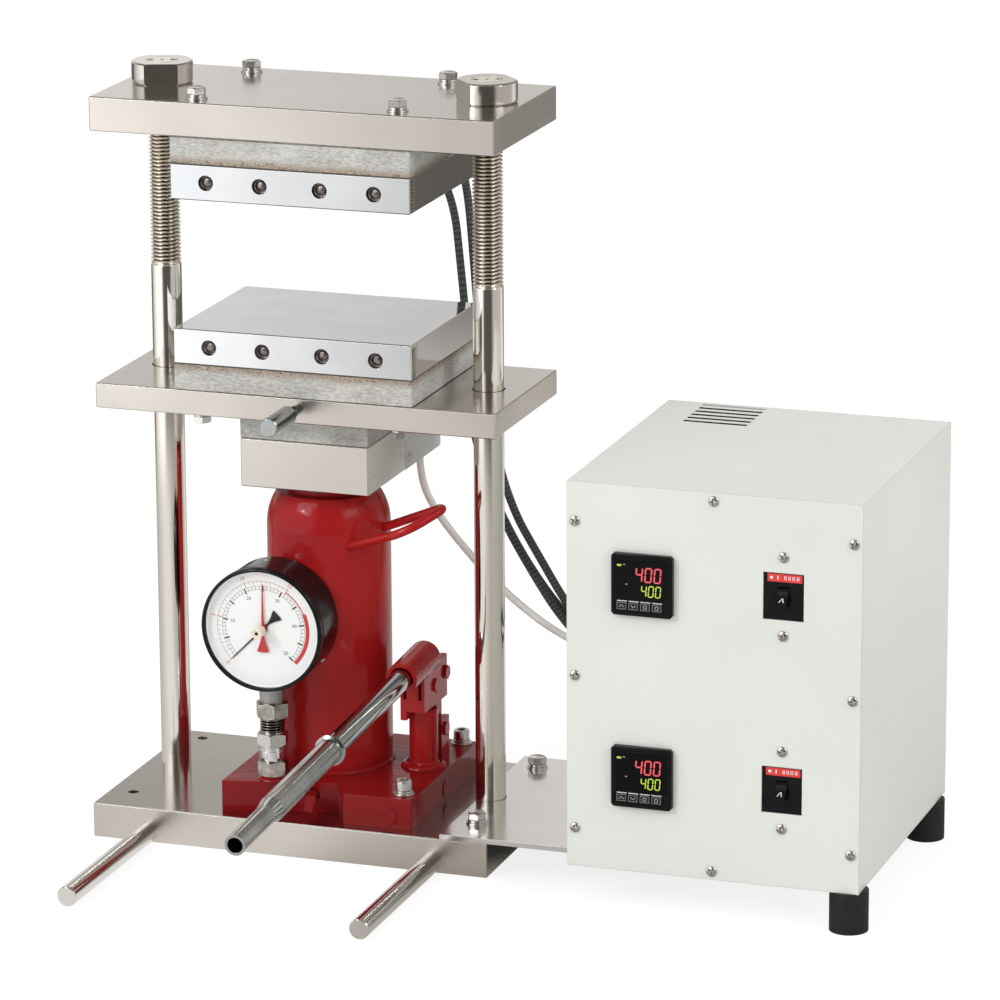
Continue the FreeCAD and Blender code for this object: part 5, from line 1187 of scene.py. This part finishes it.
CONTROLLER_X = middle("temperature_controllers", "X")
KEYS = {"up": -15.4, "down": -6.2, "mode": 3.0, "set": 12.2}
KEY_HOLE = 4.2
HOLE_FOOT, HOLE_TOP = -19.5, -13.1
RECESS, RECESS_EDGE, ON_WINDOW = 4.4, 21.1, 4.66
cases, windows, reds, greens, whites, greys = (Work() for _ in range(6))
for z in ROWS.values():
    face = on_front(CONTROLLER_X, PANEL_FRONT, z)
    rings = [octagon(HALF_CONTROLLER, 2.0, 0), octagon(HALF_CONTROLLER, 2.0, 4.3), octagon(23.3, 1.8, 5)]
    rings += [octagon(21.6, 1.0, 5), octagon(RECESS_EDGE, 0.8, RECESS)]
    cases.skin(rings, face, True, False)
    cases.block((-22.2, -22.2, -80), (22.2, 22.2, 0), face, 0.4)
    xs = [-RECESS_EDGE]
    for x in KEYS.values():
        xs += [x - KEY_HOLE, x + KEY_HOLE]
    xs.append(RECESS_EDGE)
    ys = [-RECESS_EDGE, HOLE_FOOT, HOLE_TOP, RECESS_EDGE]
    for i, (left, right) in enumerate(zip(xs, xs[1:])):
        for low, high in zip(ys, ys[1:]):
            panel = [(left, low), (right, low), (right, high), (left, high)]
            if i % 2 and low == HOLE_FOOT:
                cases.skin([[(x, y, h) for x, y in panel] for h in (RECESS, 2.0)], face, False, True)
            else:
                cases.face([(x, y, RECESS) for x, y in panel], face)
    windows.block((-20.2, -11.4, 4.35), (20.2, 19.8, 4.62), face, 0.1)
    bar_figures(reds, face, "400", 14.4, 3.4, 10.6, ON_WINDOW)
    bar_figures(greens, face, "400", 14.4, -8.0, 8.2, ON_WINDOW)
    lamp = [(-19.4, 14.8), (-18.9, 14.2), (-16.2, 14.2), (-15.7, 14.8)]
    lamp += [(x, 30 - y) for x, y in reversed(lamp)]
    greens.face([(x, y, ON_WINDOW) for x, y in lamp], face)
    greys.block((-12.8, 0.2, 4.6), (-11.0, 0.9, ON_WINDOW), face, 0.01)
    greys.block((-14.6, 15.4, 4.6), (-12.9, 16.2, ON_WINDOW), face, 0.01)
    for x in KEYS.values():
        whites.block((x - 3.9, -13.05, 4.36), (x + 3.9, -12.35, 4.5), face, 0.02)
cases.done("controller_cases", moulded, "black_plastic", "temperature_controllers")
windows.done("controller_windows", window, "black_plastic")
reds.done("red_figures", red_light, "hand_red")
greens.done("green_figures", green_light, "hand_red")
whites.done("white_strips", white_ink, "dial_white")
greys.done("window_dots", grey_ink, "dial_white")

key_plastic = coat(
    "dark key plastic", (500.0, 2), (0.008, 0.008, 0.009), (0.018, 0.018, 0.020), (0.15, 0.3),
    (0.00002, 0.0006), Specular_IOR_Level=0.2,
)
KEY_FRONT = reach("upper_up_button", "Y", 0)
KEY_DROP = 16.3
KEY_BORDER = (
    ((-3.6, 2.3), (3.6, 2.55)),
    ((-3.6, -2.55), (3.6, -2.3)),
    ((-3.6, -2.3), (-3.35, 2.3)),
    ((3.35, -2.3), (3.6, 2.3)),
)
for row, z in ROWS.items():
    for word, x in KEYS.items():
        dress(key_plastic, f"{row}_{word}_button")
        place = on_front(CONTROLLER_X + x, KEY_FRONT, z - KEY_DROP)
        work = Work()
        for low, high in KEY_BORDER:
            work.block((*low, -0.05), (*high, 0.03), place, 0.01)
        way = {"up": 1, "down": -1}.get(word)
        if way:
            for side in (-1, 1):
                tilt = Matrix.Rotation(-side * way * 0.75, 4, "Z")
                slope = place @ stand(side * 0.95, 0, 0) @ tilt
                work.block((-1.4, -0.27, -0.05), (1.4, 0.27, 0.04), slope, 0.01)
        else:
            arc(work, place, 1.05, 1.6, 0, 360, 0.04)
        work.done(f"{row}_{word}_mark", grey_ink, "dial_white", body=f"{row}_{word}_key")


# Breakers: two switches clipped in behind windows in the box's front. Each is a dark moulding with a red
# band over its black toggle, and plain marks are printed on both.
dark_case = coat(
    "dark breaker moulding", (700.0, 2), (0.004, 0.004, 0.0045), (0.010, 0.010, 0.011), (0.15, 0.22),
    (0.00004, 0.0004), Specular_IOR_Level=0.14,
)
dress(dark_case, "heater_breakers", "upper_toggle", "lower_toggle")
BREAKER_FRONT = reach("heater_breakers", "Y", 0)
STROKE = 0.55
TOGGLE_Y, TOGGLE_LEAN = -132.2, 22
bands, marks = Work(), Work()
for row, z in ROWS.items():
    face = on_front(BREAKER_X, BREAKER_FRONT, z)
    bands.block((-12.6, 11.2, -0.05), (14.2, 17.4, 0.12), face, 0.03)
    marks.block((-10.6, 13.4, 0.1), (-8.4, 15.4, 0.16), face, 0.02)
    for x, wide in ((-4.6, 1.0), (1.2, 1.6), (4.4, 1.8), (7.6, 1.8), (11.0, 1.8)):
        for left in (x - wide / 2, x + wide / 2 - STROKE):
            marks.block((left, 12.9, 0.1), (left + STROKE, 15.9, 0.16), face, 0.02)
    tipped = stand(BREAKER_X, TOGGLE_Y, z) @ spun(TOGGLE_LEAN, "X")
    work = Work()
    for side in (-1, 1):
        slope = tipped @ stand(side * 0.95, -9.2, 2) @ Matrix.Rotation(side * 0.3, 4, "Z")
        work.block((-0.38, -2.7, -0.02), (0.38, 2.7, 0.08), slope, 0.02)
    work.done(f"{row}_toggle_mark", white_ink, "dial_white", body=f"{row}_breaker_toggle")
bands.done("red_bands", red_ink, "hand_red")
marks.done("band_marks", white_ink, "dial_white")
